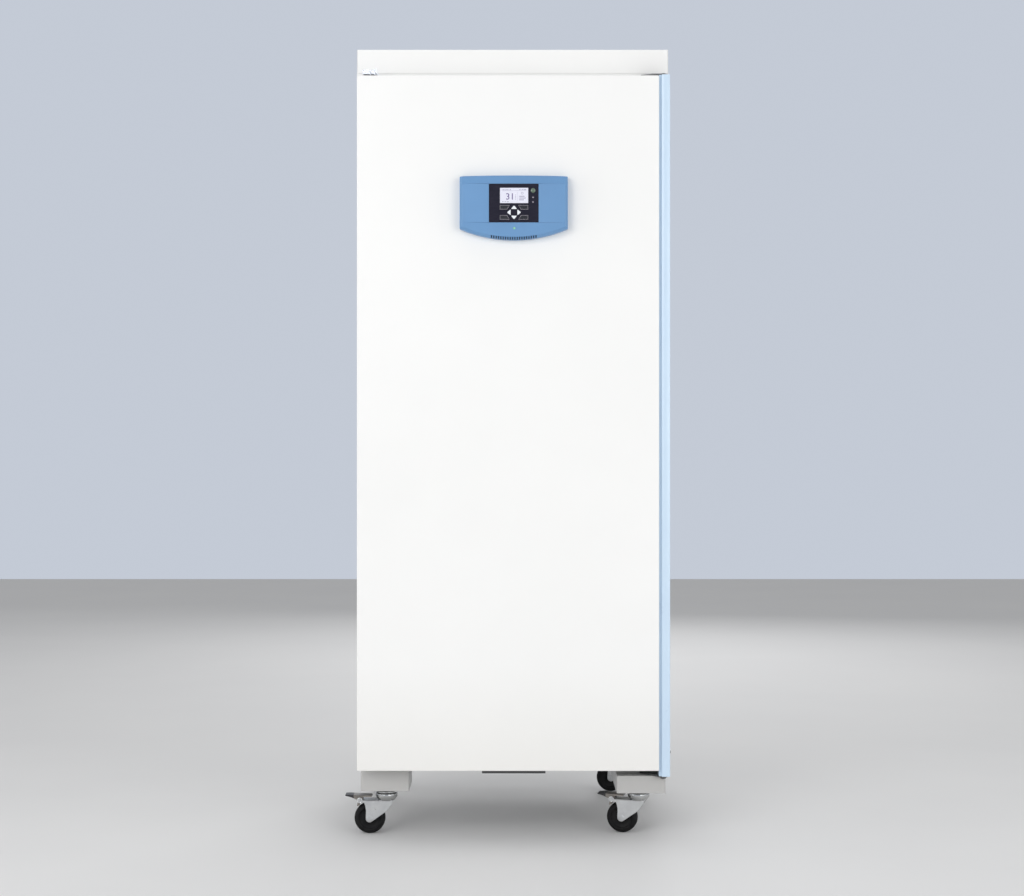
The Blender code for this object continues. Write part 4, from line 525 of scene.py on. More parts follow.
def glowing(name, colour, strength):
    """A small lit or unlit lens with a frosted inside."""
    frost = (cells, 1400.0)
    return new_finish(
        name, colour, 0.25, tone(frost, colour, shaded(colour, 0.75), 0.0, 0.8),
        (spread, (noise, 500.0), 0.175, 0.30), (frost, 0.10, 0.0002),
        Emission_Color=(*colour, 1.0), Emission_Strength=strength, Coat_Weight=0.6, Coat_Roughness=0.08,
    )


def rubber(name, colour, dusty, grain=700.0):
    """Rubber: matt, finely pitted, with dust in the low places."""
    return new_finish(
        name, colour, 0.58, tone((noise, 48.0, 6.0, (1.0, 1.0, 1.0), 0.6), colour, dusty, 0.45, 0.80),
        (spread, (noise, 80.0, 4.0), 0.46, 0.68), ((noise, grain, 4.0), 0.16, 0.0003),
        ((noise, 120.0, 2.0), 0.05, 0.0005), Specular_IOR_Level=0.16,
    )


WHITE_PAINT = powder_coat("white powder coat", (0.90, 0.90, 0.89), (0.93, 0.92, 0.90))
REAR_PAINT = powder_coat("white coated sheet", (0.86, 0.86, 0.85), (0.92, 0.91, 0.89))
LINER_WHITE = moulded("white liner", (0.86, 0.87, 0.87), 0.30, 900.0, 0.02, 0.985)
BLUE_MOULDING = moulded("blue moulding", (0.142, 0.306, 0.555), 0.42, 1700.0, 0.13, 0.93)
BLACK_MOULDING = moulded("black moulding", (0.022, 0.022, 0.025), 0.46, 1300.0, 0.20, 0.80)
BLACK_KEY = moulded("black key", (0.012, 0.013, 0.019), 0.30, 1500.0, 0.08, 0.85)
WHITE_KEY = moulded("white key", (0.84, 0.87, 0.92), 0.38, 1500.0, 0.08, 0.96)
PRINT_WHITE = moulded("pale print", (0.36, 0.33, 0.38), 0.50, 1500.0, 0.05, 0.92)
PRINT_PURPLE = moulded("purple print", (0.105, 0.060, 0.230), 0.45, 1500.0, 0.05, 0.88)
PRINT_GREY = moulded("grey print", (0.36, 0.34, 0.48), 0.45, 1500.0, 0.05, 0.85)
BLACK_PAINT = powder_coat("black enamel", (0.020, 0.020, 0.022), (1.0, 1.0, 1.0))
DARK_STEEL = powder_coat("dark coated steel", (0.085, 0.085, 0.088), (1.0, 1.0, 1.0))
ZINC = plated("zinc plating", (0.66, 0.665, 0.66), (0.55, 0.555, 0.56), 0.34)
# Race and dish: plated steel, its tone set darker than the zinc as a painted dark reflection.
RACE_STEEL = plated("bright race", (0.60, 0.605, 0.60), (0.40, 0.405, 0.40), 0.17, 120.0)
CHROME = new_finish(
    "satin chrome", (0.92, 0.93, 0.95), 0.26,
    tone((noise, 120.0, 5.0), (0.93, 0.94, 0.96), (0.84, 0.86, 0.90)),
    (spread, (noise, 120.0, 5.0), 0.20, 0.34), ((noise, 400.0, 4.0, (1.0, 1.0, 12.0)), 0.03, 0.0001),
    metallic=1.0,
)
STAINLESS = brushed("stainless steel", (0.62, 0.63, 0.63), 0.28, (1.0, 14.0, 14.0))
ALUMINIUM = brushed("aluminium", (0.70, 0.71, 0.72), 0.42, (1.0, 8.0, 8.0), 0.93)
HINGE_STEEL = plated("dull hinge steel", (0.20, 0.20, 0.20), (0.13, 0.13, 0.135), 0.50)
LEVER_STEEL = plated("pedal steel", (0.30, 0.275, 0.245), (0.19, 0.175, 0.16), 0.40)
# Caster blocks: grey paint, darkened further as painted shade for the door's overhang above them.
GREY_WITH_PAINTED_SHADE = powder_coat("grey white block paint", (0.51, 0.505, 0.495), (0.95, 0.95, 0.95))
LENS = glowing("grey green lens", (0.115, 0.165, 0.115), 0.05)
SMALL_LED = glowing("pale indicator", (0.24, 0.21, 0.26), 0.08)
GREEN_LAMP = glowing("green lamp", (0.25, 0.58, 0.33), 0.30)
TYRE = rubber("black tyre", (0.0065, 0.0065, 0.007), (0.016, 0.0155, 0.015))
SEAL = rubber("grey seal", (0.66, 0.67, 0.68), (0.60, 0.61, 0.61), 900.0)

# Light blue rigid profile: faint die lines along its length
LIGHT_BLUE = new_finish(
    "light blue profile", (0.60, 0.745, 0.885), 0.32,
    tone((noise, 4.0), (0.60, 0.745, 0.885), (0.56, 0.70, 0.86)),
    (spread, (noise, 18.0, 4.0), 0.27, 0.38), ((noise, 6.0, 4.0, (260.0, 260.0, 1.0)), 0.10, 0.0003),
    ((noise, 1200.0, 2.0), 0.03, 0.0001), Coat_Weight=0.25, Coat_Roughness=0.18,
)

# Black printed front plate: deep gloss with faint wiping marks
WIPES = (noise, 70.0, 5.0, (1.0, 1.0, 2.6), 0.8)
FRONT_PLATE = new_finish(
    "black front plate", (0.012, 0.011, 0.022), 0.16,
    tone(WIPES, (0.012, 0.011, 0.022), (0.017, 0.015, 0.028)),
    (spread, WIPES, 0.12, 0.26), ((noise, 300.0, 2.0), 0.02, 0.0001),
    Specular_IOR_Level=0.20, Coat_Weight=0.10, Coat_Roughness=0.07,
)

# Backlit display: an even pale glow behind a fine grid of picture dots
GLOW = tone((noise, 26.0, 2.0), (0.76, 0.76, 0.84), (0.66, 0.67, 0.76))
DISPLAY = new_finish(
    "display", (0.72, 0.72, 0.80), 0.22, tone((cells, 2600.0), GLOW, (0.62, 0.62, 0.72), 0.2, 0.8),
    (spread, (noise, 150.0), 0.18, 0.28), Emission_Color=(0.86, 0.86, 1.0, 1.0), Emission_Strength=0.15,
)

PORES = (cells, 420.0)
FOAM = new_finish(
    "insulation foam", (0.80, 0.72, 0.48), 0.95,
    tone(PORES, (0.70, 0.60, 0.36), (0.84, 0.77, 0.54), 0.0, 0.7),
    (spread, (noise, 60.0), 0.88, 0.98), (PORES, 0.4, 0.0008),
)

# Green board: solder mask over fine tracks
TRACKS = (spread, (cells, 240.0, "DISTANCE_TO_EDGE", "Distance", (1.0, 1.0, 2.0)), 1.0, 0.0, 0.03, 0.06)
BOARD = new_finish(
    "circuit board", (0.02, 0.16, 0.07), 0.40, (blend, TRACKS, (0.015, 0.12, 0.05), (0.03, 0.26, 0.11)),
    (spread, (noise, 120.0), 0.34, 0.48), (TRACKS, 0.2, 0.0001),
)

# Finish, material slot, and how the names of the CAD nodes that have them start. The first that fits counts.
FINISH_TABLE = (
    (WHITE_PAINT, "white_paint", ("outer_shell", "top_cover", "door_skin")),
    (REAR_PAINT, "white_paint", ("rear_panel",)),
    (LINER_WHITE, "liner_white", ("chamber_liner", "front_frame", "door_liner", "air_duct")),
    (FOAM, "foam", ("cabinet_insulation", "door_insulation")),
    (GREY_WITH_PAINTED_SHADE, "zinc", ("caster_mount_front_right",)),
    (GREY_WITH_PAINTED_SHADE, "white_paint", ("caster_mount",)),
    (ZINC, "zinc", ("base_pan", "caster_fork")),
    (DARK_STEEL, "dark_steel", ("under_door_plate", "fan_motor", "condenser")),
    (HINGE_STEEL, "zinc", ("hinge_bracket",)),
    (CHROME, "chrome", ("lock_keeper", "lock_tongue")),
    (SEAL, "seal_rubber", ("door_gasket",)),
    (LIGHT_BLUE, "light_blue_profile", ("hinge_trim",)),
    (BLUE_MOULDING, "blue_moulding", ("control_housing",)),
    (FRONT_PLATE, "black_plastic", ("display_window",)),
    (DISPLAY, "display", ("lcd_module",)),
    (BOARD, "circuit_board", ("controller_board",)),
    (LENS, "lens_grey_green", ("status_lens",)),
    (GREEN_LAMP, "lamp_green", ("power_lamp",)),
    (STAINLESS, "stainless", ("shelf_ladder", "grid_shelf", "heater_element", "temperature_probe")),
    (BLACK_MOULDING, "black_plastic", ("fan_rotor", "evaporation_tray", "mains_inlet", "brake_pedal")),
    (ALUMINIUM, "aluminium", ("evaporator",)),
    (BLACK_PAINT, "black_paint", ("compressor",)),
    (TYRE, "tyre_rubber", ("caster_wheel",)),
    (BLACK_KEY, "black_plastic", ("key_soft",)),
    (WHITE_KEY, "key_white", ("key_",)),
)
NODE_FINISH = {}
for node in NODES:
    fitting = [(finish, slot) for finish, slot, starts in FINISH_TABLE if node.startswith(starts)]
    NODE_FINISH[node] = fitting[0]
    NODES[node].data.materials.clear()
    NODES[node].data.materials.append(fitting[0][0])


# Repeated things, made by Geometry Nodes

def tree_with(name, inputs):
    """A geometry tree with named inputs, each (label, socket type, value), and its group input's sockets."""
    tree = bpy.data.node_groups.new(name, "GeometryNodeTree")
    tree.interface.new_socket("Geometry", in_out="INPUT", socket_type="NodeSocketGeometry")
    for label, kind, value in (*inputs, ("Finish", "Material", None)):
        socket = tree.interface.new_socket(label, in_out="INPUT", socket_type="NodeSocket" + kind)
        if value is not None:
            socket.default_value = value
    tree.interface.new_socket("Geometry", in_out="OUTPUT", socket_type="NodeSocketGeometry")
    return tree, tree.nodes.new("NodeGroupInput").outputs


def finish_tree(tree, given, geometry):
    """Realize Instances and Set Material close every tree."""
    plain = new_node(tree, "GeometryNodeRealizeInstances", Geometry=geometry).outputs["Geometry"]
    coloured = new_node(tree, "GeometryNodeSetMaterial", Geometry=plain, Material=given["Finish"])
    new_node(tree, "NodeGroupOutput", Geometry=coloured.outputs["Geometry"])
    return tree


def fixings_tree():
    """Copies of one fixing, each standing on a point and facing that point's way."""
    tree, given = tree_with("fixings", [("Fixing", "Object", None), ("Size", "Float", 1.0)])
    fixing = new_node(tree, "GeometryNodeObjectInfo", Object=given["Fixing"])
    way = new_node(tree, "GeometryNodeInputNamedAttribute", Name="way")
    way.data_type = "FLOAT_VECTOR"
    turn = new_node(tree, "FunctionNodeAlignRotationToVector", Vector=way.outputs["Attribute"])
    turn.axis = "Z"
    copies = new_node(
        tree, "GeometryNodeInstanceOnPoints", Points=given["Geometry"], Instance=fixing.outputs["Geometry"],
        Rotation=turn.outputs["Rotation"], Scale=given["Size"],
    )
    return finish_tree(tree, given, copies.outputs["Instances"])


def rods_tree():
    """Round wires along the edges of a wire drawing, with closed ends."""
    tree, given = tree_with("rods", [("Radius", "Float", 0.001), ("Sides", "Int", 8)])
    curves = new_node(tree, "GeometryNodeMeshToCurve", Mesh=given["Geometry"]).outputs["Curve"]
    sizes = {"Resolution": given["Sides"], "Radius": given["Radius"]}
    ring = new_node(tree, "GeometryNodeCurvePrimitiveCircle", **sizes).outputs["Curve"]
    sweep = new_node(tree, "GeometryNodeCurveToMesh", Curve=curves, Profile_Curve=ring, Fill_Caps=True)
    return finish_tree(tree, given, sweep.outputs["Mesh"])


def row_tree():
    """One shape repeated in a straight row."""
    tree, given = tree_with("row", [
        ("Count", "Int", 10), ("Start", "Vector", (0.0, 0.0, 0.0)), ("Step", "Vector", (0.01, 0.0, 0.0)),
    ])
    line = tree.nodes.new("GeometryNodeMeshLine")
    line.mode = "OFFSET"
    for label, source in (("Count", "Count"), ("Start Location", "Start"), ("Offset", "Step")):
        tree.links.new(given[source], line.inputs[label])
    points = line.outputs["Mesh"]
    copies = new_node(tree, "GeometryNodeInstanceOnPoints", Points=points, Instance=given["Geometry"])
    return finish_tree(tree, given, copies.outputs["Instances"])


FIXINGS = fixings_tree()
RODS = rods_tree()
ROW = row_tree()


def grown(tree, mesh, finish, **inputs):
    """The plain mesh that a geometry tree makes from a mesh, with its inputs set by identifier."""
    holder = linked("holder", mesh)
    modifier = holder.modifiers.new("tree", "NODES")
    modifier.node_group = tree
    places = {item.name: item.identifier for item in tree.interface.items_tree if item.in_out == "INPUT"}
    for label, value in {**inputs, "Finish": finish}.items():
        modifier[places[label]] = value
    return plain_mesh(holder)


def points_mesh(seats):
    """Loose points, each with the way that a fixing on it faces. seats holds (place, way) pairs."""
    mesh = bpy.data.meshes.new("seats")
    mesh.from_pydata([tuple(place) for place, _ in seats], [], [])
    ways = mesh.attributes.new("way", "FLOAT_VECTOR", "POINT")
    for row, (_, way) in zip(ways.data, seats):
        row.vector = way
    return mesh


def wire_mesh(paths):
    """A wire drawing: each path is a list of joined points, closed if its ends are the same point."""
    points, edges = [], []
    for path in paths:
        start, size = len(points), len(path) - 1
        closed = (Vector(path[0]) - Vector(path[-1])).length < FINE
        points += [tuple(p) for p in (path[:-1] if closed else path)]
        edges += [(start + i, start + (i + 1) % (size if closed else size + 1)) for i in range(size)]
    mesh = bpy.data.meshes.new("wires")
    mesh.from_pydata(points, edges, [])
    return mesh


def fixings(name, template, seats, finish, size=1.0):
    """Screws or bolts on their seats in the cabinet, as one piece."""
    holder = linked("template", template)
    mesh = grown(FIXINGS, points_mesh(seats), finish, Fixing=holder, Size=size)
    bpy.data.objects.remove(holder)
    add_piece(name, smoothed(mesh), finish, "cabinet")


def wires(paths, radius, finish, sides=8):
    return smoothed(grown(RODS, wire_mesh(paths), finish, Radius=radius, Sides=sides), 50.0)


def pan_head(radius=0.0040, height=0.0024, recess=0.0026):
    """Pan-head screw with a cross recess, its seat at height 0."""
    head = lathe([
        (0.0, -0.0006), (radius * 0.9, -0.0006), (radius, 0.0), (radius, height * 0.35),
        (radius * 0.86, height * 0.74), (radius * 0.60, height * 0.94), (radius * 0.30, height),
        (0.0, height),
    ], 20)
    for turn in (45.0, 135.0):
        bar = box((-recess, -recess * 0.20, height * 0.35), (recess, recess * 0.20, height * 2.0))
        head = cut(head, moved(bar, Matrix.Rotation(math.radians(turn), 4, "Z")))
    return head


def hex_bolt(radius=0.0050, height=0.0034):
    """Hexagon bolt on a washer, its seat at height 0."""
    washer = lathe([
        (0.0, -0.0004), (radius * 1.24, -0.0004), (radius * 1.28, 0.0006), (radius * 1.22, 0.0010),
        (0.0, 0.0010),
    ], 24)
    nut = softened(prism(arc((0.0, 0.0), radius, 0, 300, 5), "Z", 0.0008, height), 0.0003, 2)
    return together(washer, nut)


PAN_HEAD = pan_head()
HEX_BOLT = hex_bolt()


# Cabinet body

def body_pieces():
    detailed("crown", "top_cover", 0.0022, 3, 60)
    detailed("body_wrap", "outer_shell", 0.0005, 2, 60)
    detailed("floor_pan", "base_pan", 0.0004, 1, 60)
    detailed("back_sheet", "rear_panel", 0.0004, 2, 60)
    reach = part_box("outer_shell")[1].x - STUD_SEAT[0]
    stud = turned([
        (0.0, 0.0), (0.0048, 0.0), (0.0048, 0.0008), (0.0038, 0.0012), (0.0038, reach - 0.0008),
        (0.0030, reach + 0.0002), (0.0, reach + 0.0002),
    ], 28, STUD_SEAT, RIGHTWARD)
    add_piece("side_stud", stud, DARK_STEEL, "cabinet")
    detailed("panel_bracket", "under_door_plate", 0.0003, 2, 60)


LOCK_LUGS = ((-0.3246, -0.3220), (-0.3140, -0.3098))
LUG_Y = (-0.3440, -0.3412)
LUG_Z = (1.8121, 1.8150)
TOP_PLATE = (1.8145, 1.8175)
TOP_PLATE_FRONT = -0.3180
HINGE_FLANGE_H = 0.0205
HINGE_FLANGE_T = 0.0027


def upper_hinge():
    """Upper hinge: a plate that reaches over the door's corner, with the pin that hangs from it."""
    low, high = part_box("hinge_bracket_top")
    x, y, _ = JOINTS["door_hinge"]["pos_m"]
    base, top = TOP_PLATE
    outline = [(high.x, high.y), (low.x, high.y), (low.x, TOP_PLATE_FRONT), (x - 0.026, y - 0.0085)]
    outline += arc((x, y), high.x - x, 240, 360, 12)
    flange = box((low.x, high.y - HINGE_FLANGE_T, top - HINGE_FLANGE_H), (high.x, high.y, top))
    post = [(0.0, low.z), (0.0034, low.z), (0.0042, low.z + 0.0010), (0.0042, top), (0.0, top)]
    parts = [
        softened(prism(outline, "Z", base, top), 0.0004, 2, 50), softened(flange, 0.0003),
        turned(post, 32, (x, y, 0.0), angle=50),
        moved(HEX_BOLT, facing((x, y, top)) @ Matrix.Diagonal((0.9, 0.9, 0.55, 1.0))),
    ]
    for screw_x in (low.x + 0.011, low.x + 0.034):
        parts.append(moved(PAN_HEAD, facing((screw_x, TOP_PLATE_FRONT + 0.009, base), DOWNWARD)))
    stand_in("upper_hinge", together(*parts), "hinge_bracket_top")


def hinge_and_lock_pieces():
    detailed("lower_hinge", "hinge_bracket_bottom", 0.0004, 2, 50)
    upper_hinge()
    strap = [softened(welded("lock_keeper"), 0.0003, 2, 50)]
    for x0, x1 in LOCK_LUGS:
        strap.append(softened(box((x0, LUG_Y[0], LUG_Z[0]), (x1, LUG_Y[1], LUG_Z[1])), 0.0004, 2, 50))
    stand_in("lock_strap", together(*strap), "lock_keeper")
    detailed("lock_lever", "lock_tongue", 0.0004, 3, 50)


# Door

def door_pieces():
    detailed("door_panel", "door_skin", 0.0006, 2, 30)
    detailed("door_lining", "door_liner", 0.0012, 2, 60)
    detailed("hinge_profile", "hinge_trim", 0.0006, 2, 60)
    detailed("seal", "door_gasket", 0.0005, 1, 60)


# Control housing

LCD_FACE_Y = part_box("lcd_module")[0].y
LCD_MIDDLE = (0.01585, 1.5238)
LCD_W = 0.066
LCD_H = 0.0356
WINDOW_FACE_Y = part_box("display_window")[0].y
HOUSING_MIDDLE = 0.01505
HOUSING_HALF_W = 0.127
HOUSING_TOP_Z = 1.5695
HOUSING_RISE = 0.002
HOUSING_SHOULDER_Z = 1.4468
HOUSING_SAG = 0.0258
HOUSING_CHAMFER = 0.0062
HOUSING_WALL = 0.0025
HOUSING_FACE_Y = -0.37625
HOUSING_REAR_Y = -0.34455
HOUSING_TOP_SLOPE = 0.374
HOUSING_LOW_SLOPE = 0.140
FLAT_TOP_Z = 1.5516
FLAT_LOW_Z = 1.4602
LEFT_LINE_X = -0.105
RIGHT_LINE_X = 0.135
VENT_COUNT = 20
VENT_PITCH = 0.0055
VENT_W = 0.0027
VENT_H = 0.0064
VENT_REAR_Y = -0.36000


HOUSING_ARC_R = (HOUSING_HALF_W ** 2 + HOUSING_SAG ** 2) / (2 * HOUSING_SAG)
HOUSING_ARC_Z = HOUSING_SHOULDER_Z - HOUSING_SAG + HOUSING_ARC_R
FIGURE_SHARE = 0.73      # a figure's height as a share of the font's size
KEY_PRINT_SHARE = 0.97
KEY_LINE_W = 0.00070


def flat_print(outline, y, holes=()):
    """A thin printed mark on a surface that faces the front."""
    return prism(outline, "Y", y - FINE, y + FINE / 2, holes)


def figures(text, height, centre, y):
    """Plain numbers as a thin mesh that faces the front."""
    curve = bpy.data.curves.new("figures", "FONT")
    curve.body = text
    curve.size = height / FIGURE_SHARE
    curve.align_x = "CENTER"
    curve.extrude = FINE / 2
    mesh = plain_mesh(linked("figures", curve))
    mesh.transform(Matrix.Rotation(math.radians(90.0), 4, "X"))
    mesh.transform(Matrix.Translation((centre[0], y, centre[1] - height / 2)))
    return mesh


def display_marks():
    """What the display shows: a large number, and small bars and lines for its other readings."""
    left, middle, row = LCD_MIDDLE[0] - LCD_W / 2, LCD_MIDDLE[1], LCD_MIDDLE[1] + LCD_H / 2 - 0.0052
    digits = figures("31", 0.0156, (left + 0.0235, middle - 0.0018), LCD_FACE_Y - FINE / 2)
    add_piece("display_number", digits, PRINT_PURPLE, "door")
    # Each bar as (x from the left, z, width, height)
    bars = [(0.0035, row - 0.0016, LCD_W - 0.0070, 0.0004), (0.0410, middle - 0.0130, 0.0003, 0.0210)]
    for x, z, gap, lengths in (
        (0.0045, row, 0.0011, (0.0012, 0.0034, 0.0022, 0.0042, 0.0018, 0.0030)),
        (0.0450, row + 0.0002, 0.0010, (0.0026, 0.0016, 0.0034, 0.0060)),
    ):
        for length in lengths:
            bars.append((x, z, length, 0.0014))
            x += length + gap
    bars += [(0.0360, middle - 0.0098 + k * 0.0034, 0.0014, 0.0016) for k in range(4)]
    for k, length in enumerate((0.0110, 0.0150, 0.0125)):
        bars.append((0.0450, middle - 0.0112 + k * 0.0042, length, 0.0018))
    bars += [(0.0045 + k * 0.0060, middle - 0.0152, 0.0040, 0.0012) for k in range(3)]
    marks = [flat_print(rectangle(left + x, z, left + x + w, z + h), LCD_FACE_Y) for x, z, w, h in bars]
    spot = (left + 0.0520, middle + 0.0052)
    marks.append(flat_print(arc(spot, 0.0028, 0, 340, 16), LCD_FACE_Y, [arc(spot, 0.0020, 0, 340, 16)]))
    add_piece("display_readings", together(*marks), PRINT_GREY, "door")


def key_prints():
    """Pale outlines on the soft keys, each riding on its key."""
    for node in sorted(NODES):
        if not node.startswith("key_soft"):
            continue
        mesh = welded(node)
        face = min(v.co.y for v in mesh.vertices)
        front = [Vector((v.co.x, v.co.z)) for v in mesh.vertices if v.co.y < face + FINE]
        middle = sum(front, Vector((0.0, 0.0))) / len(front)
        front.sort(key=lambda q: math.atan2(q.y - middle.y, q.x - middle.x))
        outer = [middle + (q - middle) * KEY_PRINT_SHARE for q in front]
        inner = []
        for q in outer:
            step = q - middle
            inner.append((q.x - math.copysign(KEY_LINE_W, step.x), q.y - math.copysign(KEY_LINE_W, step.y)))
        outline = flat_print(outer, face, [inner])
        add_piece(node + "_outline", outline, PRINT_WHITE, body_of(node))


def housing_outline():
    """Front outline: straight sides over a wide arc, and a slight arc above."""
    reach = math.degrees(math.asin(HOUSING_HALF_W / HOUSING_ARC_R))
    points = arc((HOUSING_MIDDLE, HOUSING_ARC_Z), HOUSING_ARC_R, 270 - reach, 270 + reach, 32)
    for k in range(17):
        share = 1 - k / 8
        height = HOUSING_TOP_Z + HOUSING_RISE * (1 - share ** 2)
        points.append((HOUSING_MIDDLE + HOUSING_HALF_W * share, height))
    return points


def housing_ring(depth, top_depth):
    """The outline moved in at the sides and below by one depth, and above by another."""
    outline = housing_outline()
    pairs = zip(inset(outline, depth), outline)
    return [(p[0], q[1] - top_depth if q[1] > FLAT_TOP_Z else p[1]) for p, q in pairs]


def housing_fall(z):
    """How far the face falls back above and below its flat middle."""
    above = max(z - FLAT_TOP_Z, 0.0) * HOUSING_TOP_SLOPE
    return above + max(FLAT_LOW_Z - z, 0.0) * HOUSING_LOW_SLOPE


def housing_solid(wall, inward, rear):
    """The housing as a solid with a chamfer at its sides and below, moved in by a wall."""
    face = HOUSING_FACE_Y + inward
    outer = housing_ring(wall, wall)
    rings = [
        (outer, rear), (outer, face + HOUSING_CHAMFER), (housing_ring(wall + HOUSING_CHAMFER, wall), face),
    ]
    bm = bm_of(lofted(rings, "Y"))
    for height in (FLAT_TOP_Z, FLAT_LOW_Z):
        whole = [*bm.verts, *bm.edges, *bm.faces]
        bmesh.ops.bisect_plane(bm, geom=whole, plane_co=(0.0, 0.0, height), plane_no=(0.0, 0.0, 1.0))
    for vertex in bm.verts:
        if vertex.co.y < rear - FINE:
            vertex.co.y += housing_fall(vertex.co.z)
    return mesh_from(bm)


def rim_z(x):
    """Height of the housing's lower rim."""
    return HOUSING_ARC_Z - math.sqrt(HOUSING_ARC_R ** 2 - (x - HOUSING_MIDDLE) ** 2)


def housing_shell():
    """Hollow moulding with the front plate's recess, fine joint lines, the lamp's hole and the vents."""
    rear = HOUSING_REAR_Y
    shell = softened(housing_solid(0.0, 0.0, rear), 0.0008, 2, 4)
    shell = cut(shell, housing_solid(HOUSING_WALL, HOUSING_WALL + 0.0010, rear + 0.010))
    low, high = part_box("display_window")
    before = HOUSING_FACE_Y - 0.010
    edge, ledge = 0.0003, 0.0037
    recess = box((low.x - edge, before, low.z - edge), (high.x + edge, high.y + edge, high.z + edge))
    opening = box((low.x + ledge, before, low.z + ledge), (high.x - ledge, before + 0.020, high.z - ledge))
    lines = []
    for x0, x1 in ((LEFT_LINE_X, low.x - edge), (high.x + edge, RIGHT_LINE_X)):
        for z in (FLAT_TOP_Z, FLAT_LOW_Z):
            lines.append(box((x0, before, z - 0.0004), (x1, HOUSING_FACE_Y + 0.0005, z + 0.0004)))
    vents = []
    for k in range(VENT_COUNT):
        x = HOUSING_MIDDLE + (k - (VENT_COUNT - 1) / 2) * VENT_PITCH
        z = rim_z(x)
        vents.append(box((x - VENT_W / 2, before, z - 0.004), (x + VENT_W / 2, VENT_REAR_Y, z + VENT_H)))
    lamp = middle_of("power_lamp")
    hole = prism(arc((lamp.x, lamp.z), 0.0028, 0, 350, 35), "Y", before, before + 0.022)
    return faired(cut(shell, recess, opening, together(*lines), together(*vents), hole), 30)


def shade_sheet_for_vents():
    """A black sheet just behind the vents: painted shade that makes the slots read dark."""
    width = VENT_COUNT * VENT_PITCH + 0.004
    xs = [HOUSING_MIDDLE + width * (k / 20 - 0.5) for k in range(21)]
    outline = [(x, rim_z(x) + 0.0005) for x in xs] + [(x, rim_z(x) + 0.0110) for x in reversed(xs)]
    front = HOUSING_FACE_Y + housing_fall(rim_z(HOUSING_MIDDLE)) + HOUSING_CHAMFER + 0.0007
    return prism(outline, "Y", front, front + 0.010)


def housing_pieces():
    stand_in("housing", housing_shell(), "control_housing")
    # Painted shade: a black sheet behind the vents stands in for the dark inside the slots.
    add_piece("vent_baffle", shade_sheet_for_vents(), BLACK_MOULDING, "door")
    detailed("front_plate", "display_window", 0.00025, 2, 60)
    for node in sorted(NODES):
        if node.startswith("key_"):
            detailed(node + "_cap", node, 0.00022, 2, 50)
    display_marks()
    key_prints()
    lens = middle_of("status_lens")
    dome = lathe([(0.0055, -0.0012), (0.0055, 0.0004), (0.0050, 0.0010), (0.0034, 0.0014), (0.0, 0.0016)], 40)
    shoulder = lathe([(0.0, -0.0060), (0.0068, -0.0060), (0.0068, -0.0014), (0.0055, -0.0012)], 40)
    lens_mesh = moved(together(dome, shoulder), facing((lens.x, WINDOW_FACE_Y, lens.z), FORWARD))
    stand_in("round_lens", smoothed(lens_mesh, 40), "status_lens")
    led = [(0.0, -0.0004), (0.0021, -0.0004), (0.0021, 0.0001), (0.0015, 0.0005), (0.0, 0.0006)]
    leds = [turned(led, 24, (lens.x, WINDOW_FACE_Y, lens.z - drop), FORWARD) for drop in (0.0162, 0.0272)]
    add_piece("indicator_pair", together(*leds), SMALL_LED, "door")
    lamp = middle_of("power_lamp")
    bulb = turned([
        (0.0, -0.0060), (0.0036, -0.0060), (0.0036, -0.0030), (0.0026, -0.0030), (0.0026, -0.0012),
        (0.0022, -0.0005), (0.0013, -0.0001), (0.0, 0.0),
    ], 32, (lamp.x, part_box("power_lamp")[0].y, lamp.z), FORWARD, 60)
    stand_in("green_lamp", bulb, "power_lamp")


# Casters, each built at its swivel axis and then set in place

def caster_place(place):
    """The matrix that puts a caster's shape on its swivel axis, turned as the wheel trails at rest."""
    swivel = Vector(JOINTS["swivel_" + place]["pos_m"])
    axle = Vector(JOINTS["roll_" + place]["pos_m"])
    trail = Vector((axle.x - swivel.x, axle.y - swivel.y, 0.0))
    turn = math.atan2(trail.y, trail.x)
    return Matrix.Translation((swivel.x, swivel.y, 0.0)) @ Matrix.Rotation(turn, 4, "Z")


def along_axle(mesh):
    """A shape turned about Z, laid on the axle."""
    return moved(mesh, facing((TRAIL, 0.0, WHEEL_R)) @ Matrix.Rotation(math.radians(90.0), 4, "X"))


def wheel_shape():
    """Solid wheel: hub boss with a bearing shield, dished web, rim step and crowned tread."""
    side = [(radius, WHEEL_HALF_W - depth) for radius, depth in (
        (0.0053, 0.0008), (0.0060, 0.0), (0.0096, 0.0), (0.0102, 0.0006), (0.0108, 0.0030), (0.0126, 0.0042),
        (0.0232, 0.0046), (0.0248, 0.0036), (0.0262, 0.0010), (0.0276, 0.0002), (0.0294, 0.0003),
        (0.0300, 0.0010), (0.0306, 0.0006), (0.0326, 0.0016), (0.0348, 0.0034), (0.0364, 0.0056),
        (0.0373, 0.0086),
    )]
    profile = side + [(WHEEL_R, 0.0)] + [(r, -w) for r, w in reversed(side)]
    return smoothed(along_axle(lathe(profile, 72, closed=True)), 50)


def leg_outline():
    """Side of a fork leg: hollow-curved behind, a round tip on the axle, straight in front."""
    start, neck, end = Vector((0.057, FORK_TOP)), Vector((0.0465, 0.0680)), Vector((TRAIL + 0.0092, 0.0420))
    shares = [i / 12 for i in range(13)]
    points = [tuple((1 - t) ** 2 * start + 2 * t * (1 - t) * neck + t ** 2 * end) for t in shares]
    points += arc((TRAIL, WHEEL_R), 0.0092, 8, -125, 12)
    return points + [(0.000, 0.0545), (-0.015, 0.0745), (-0.017, FORK_TOP)]


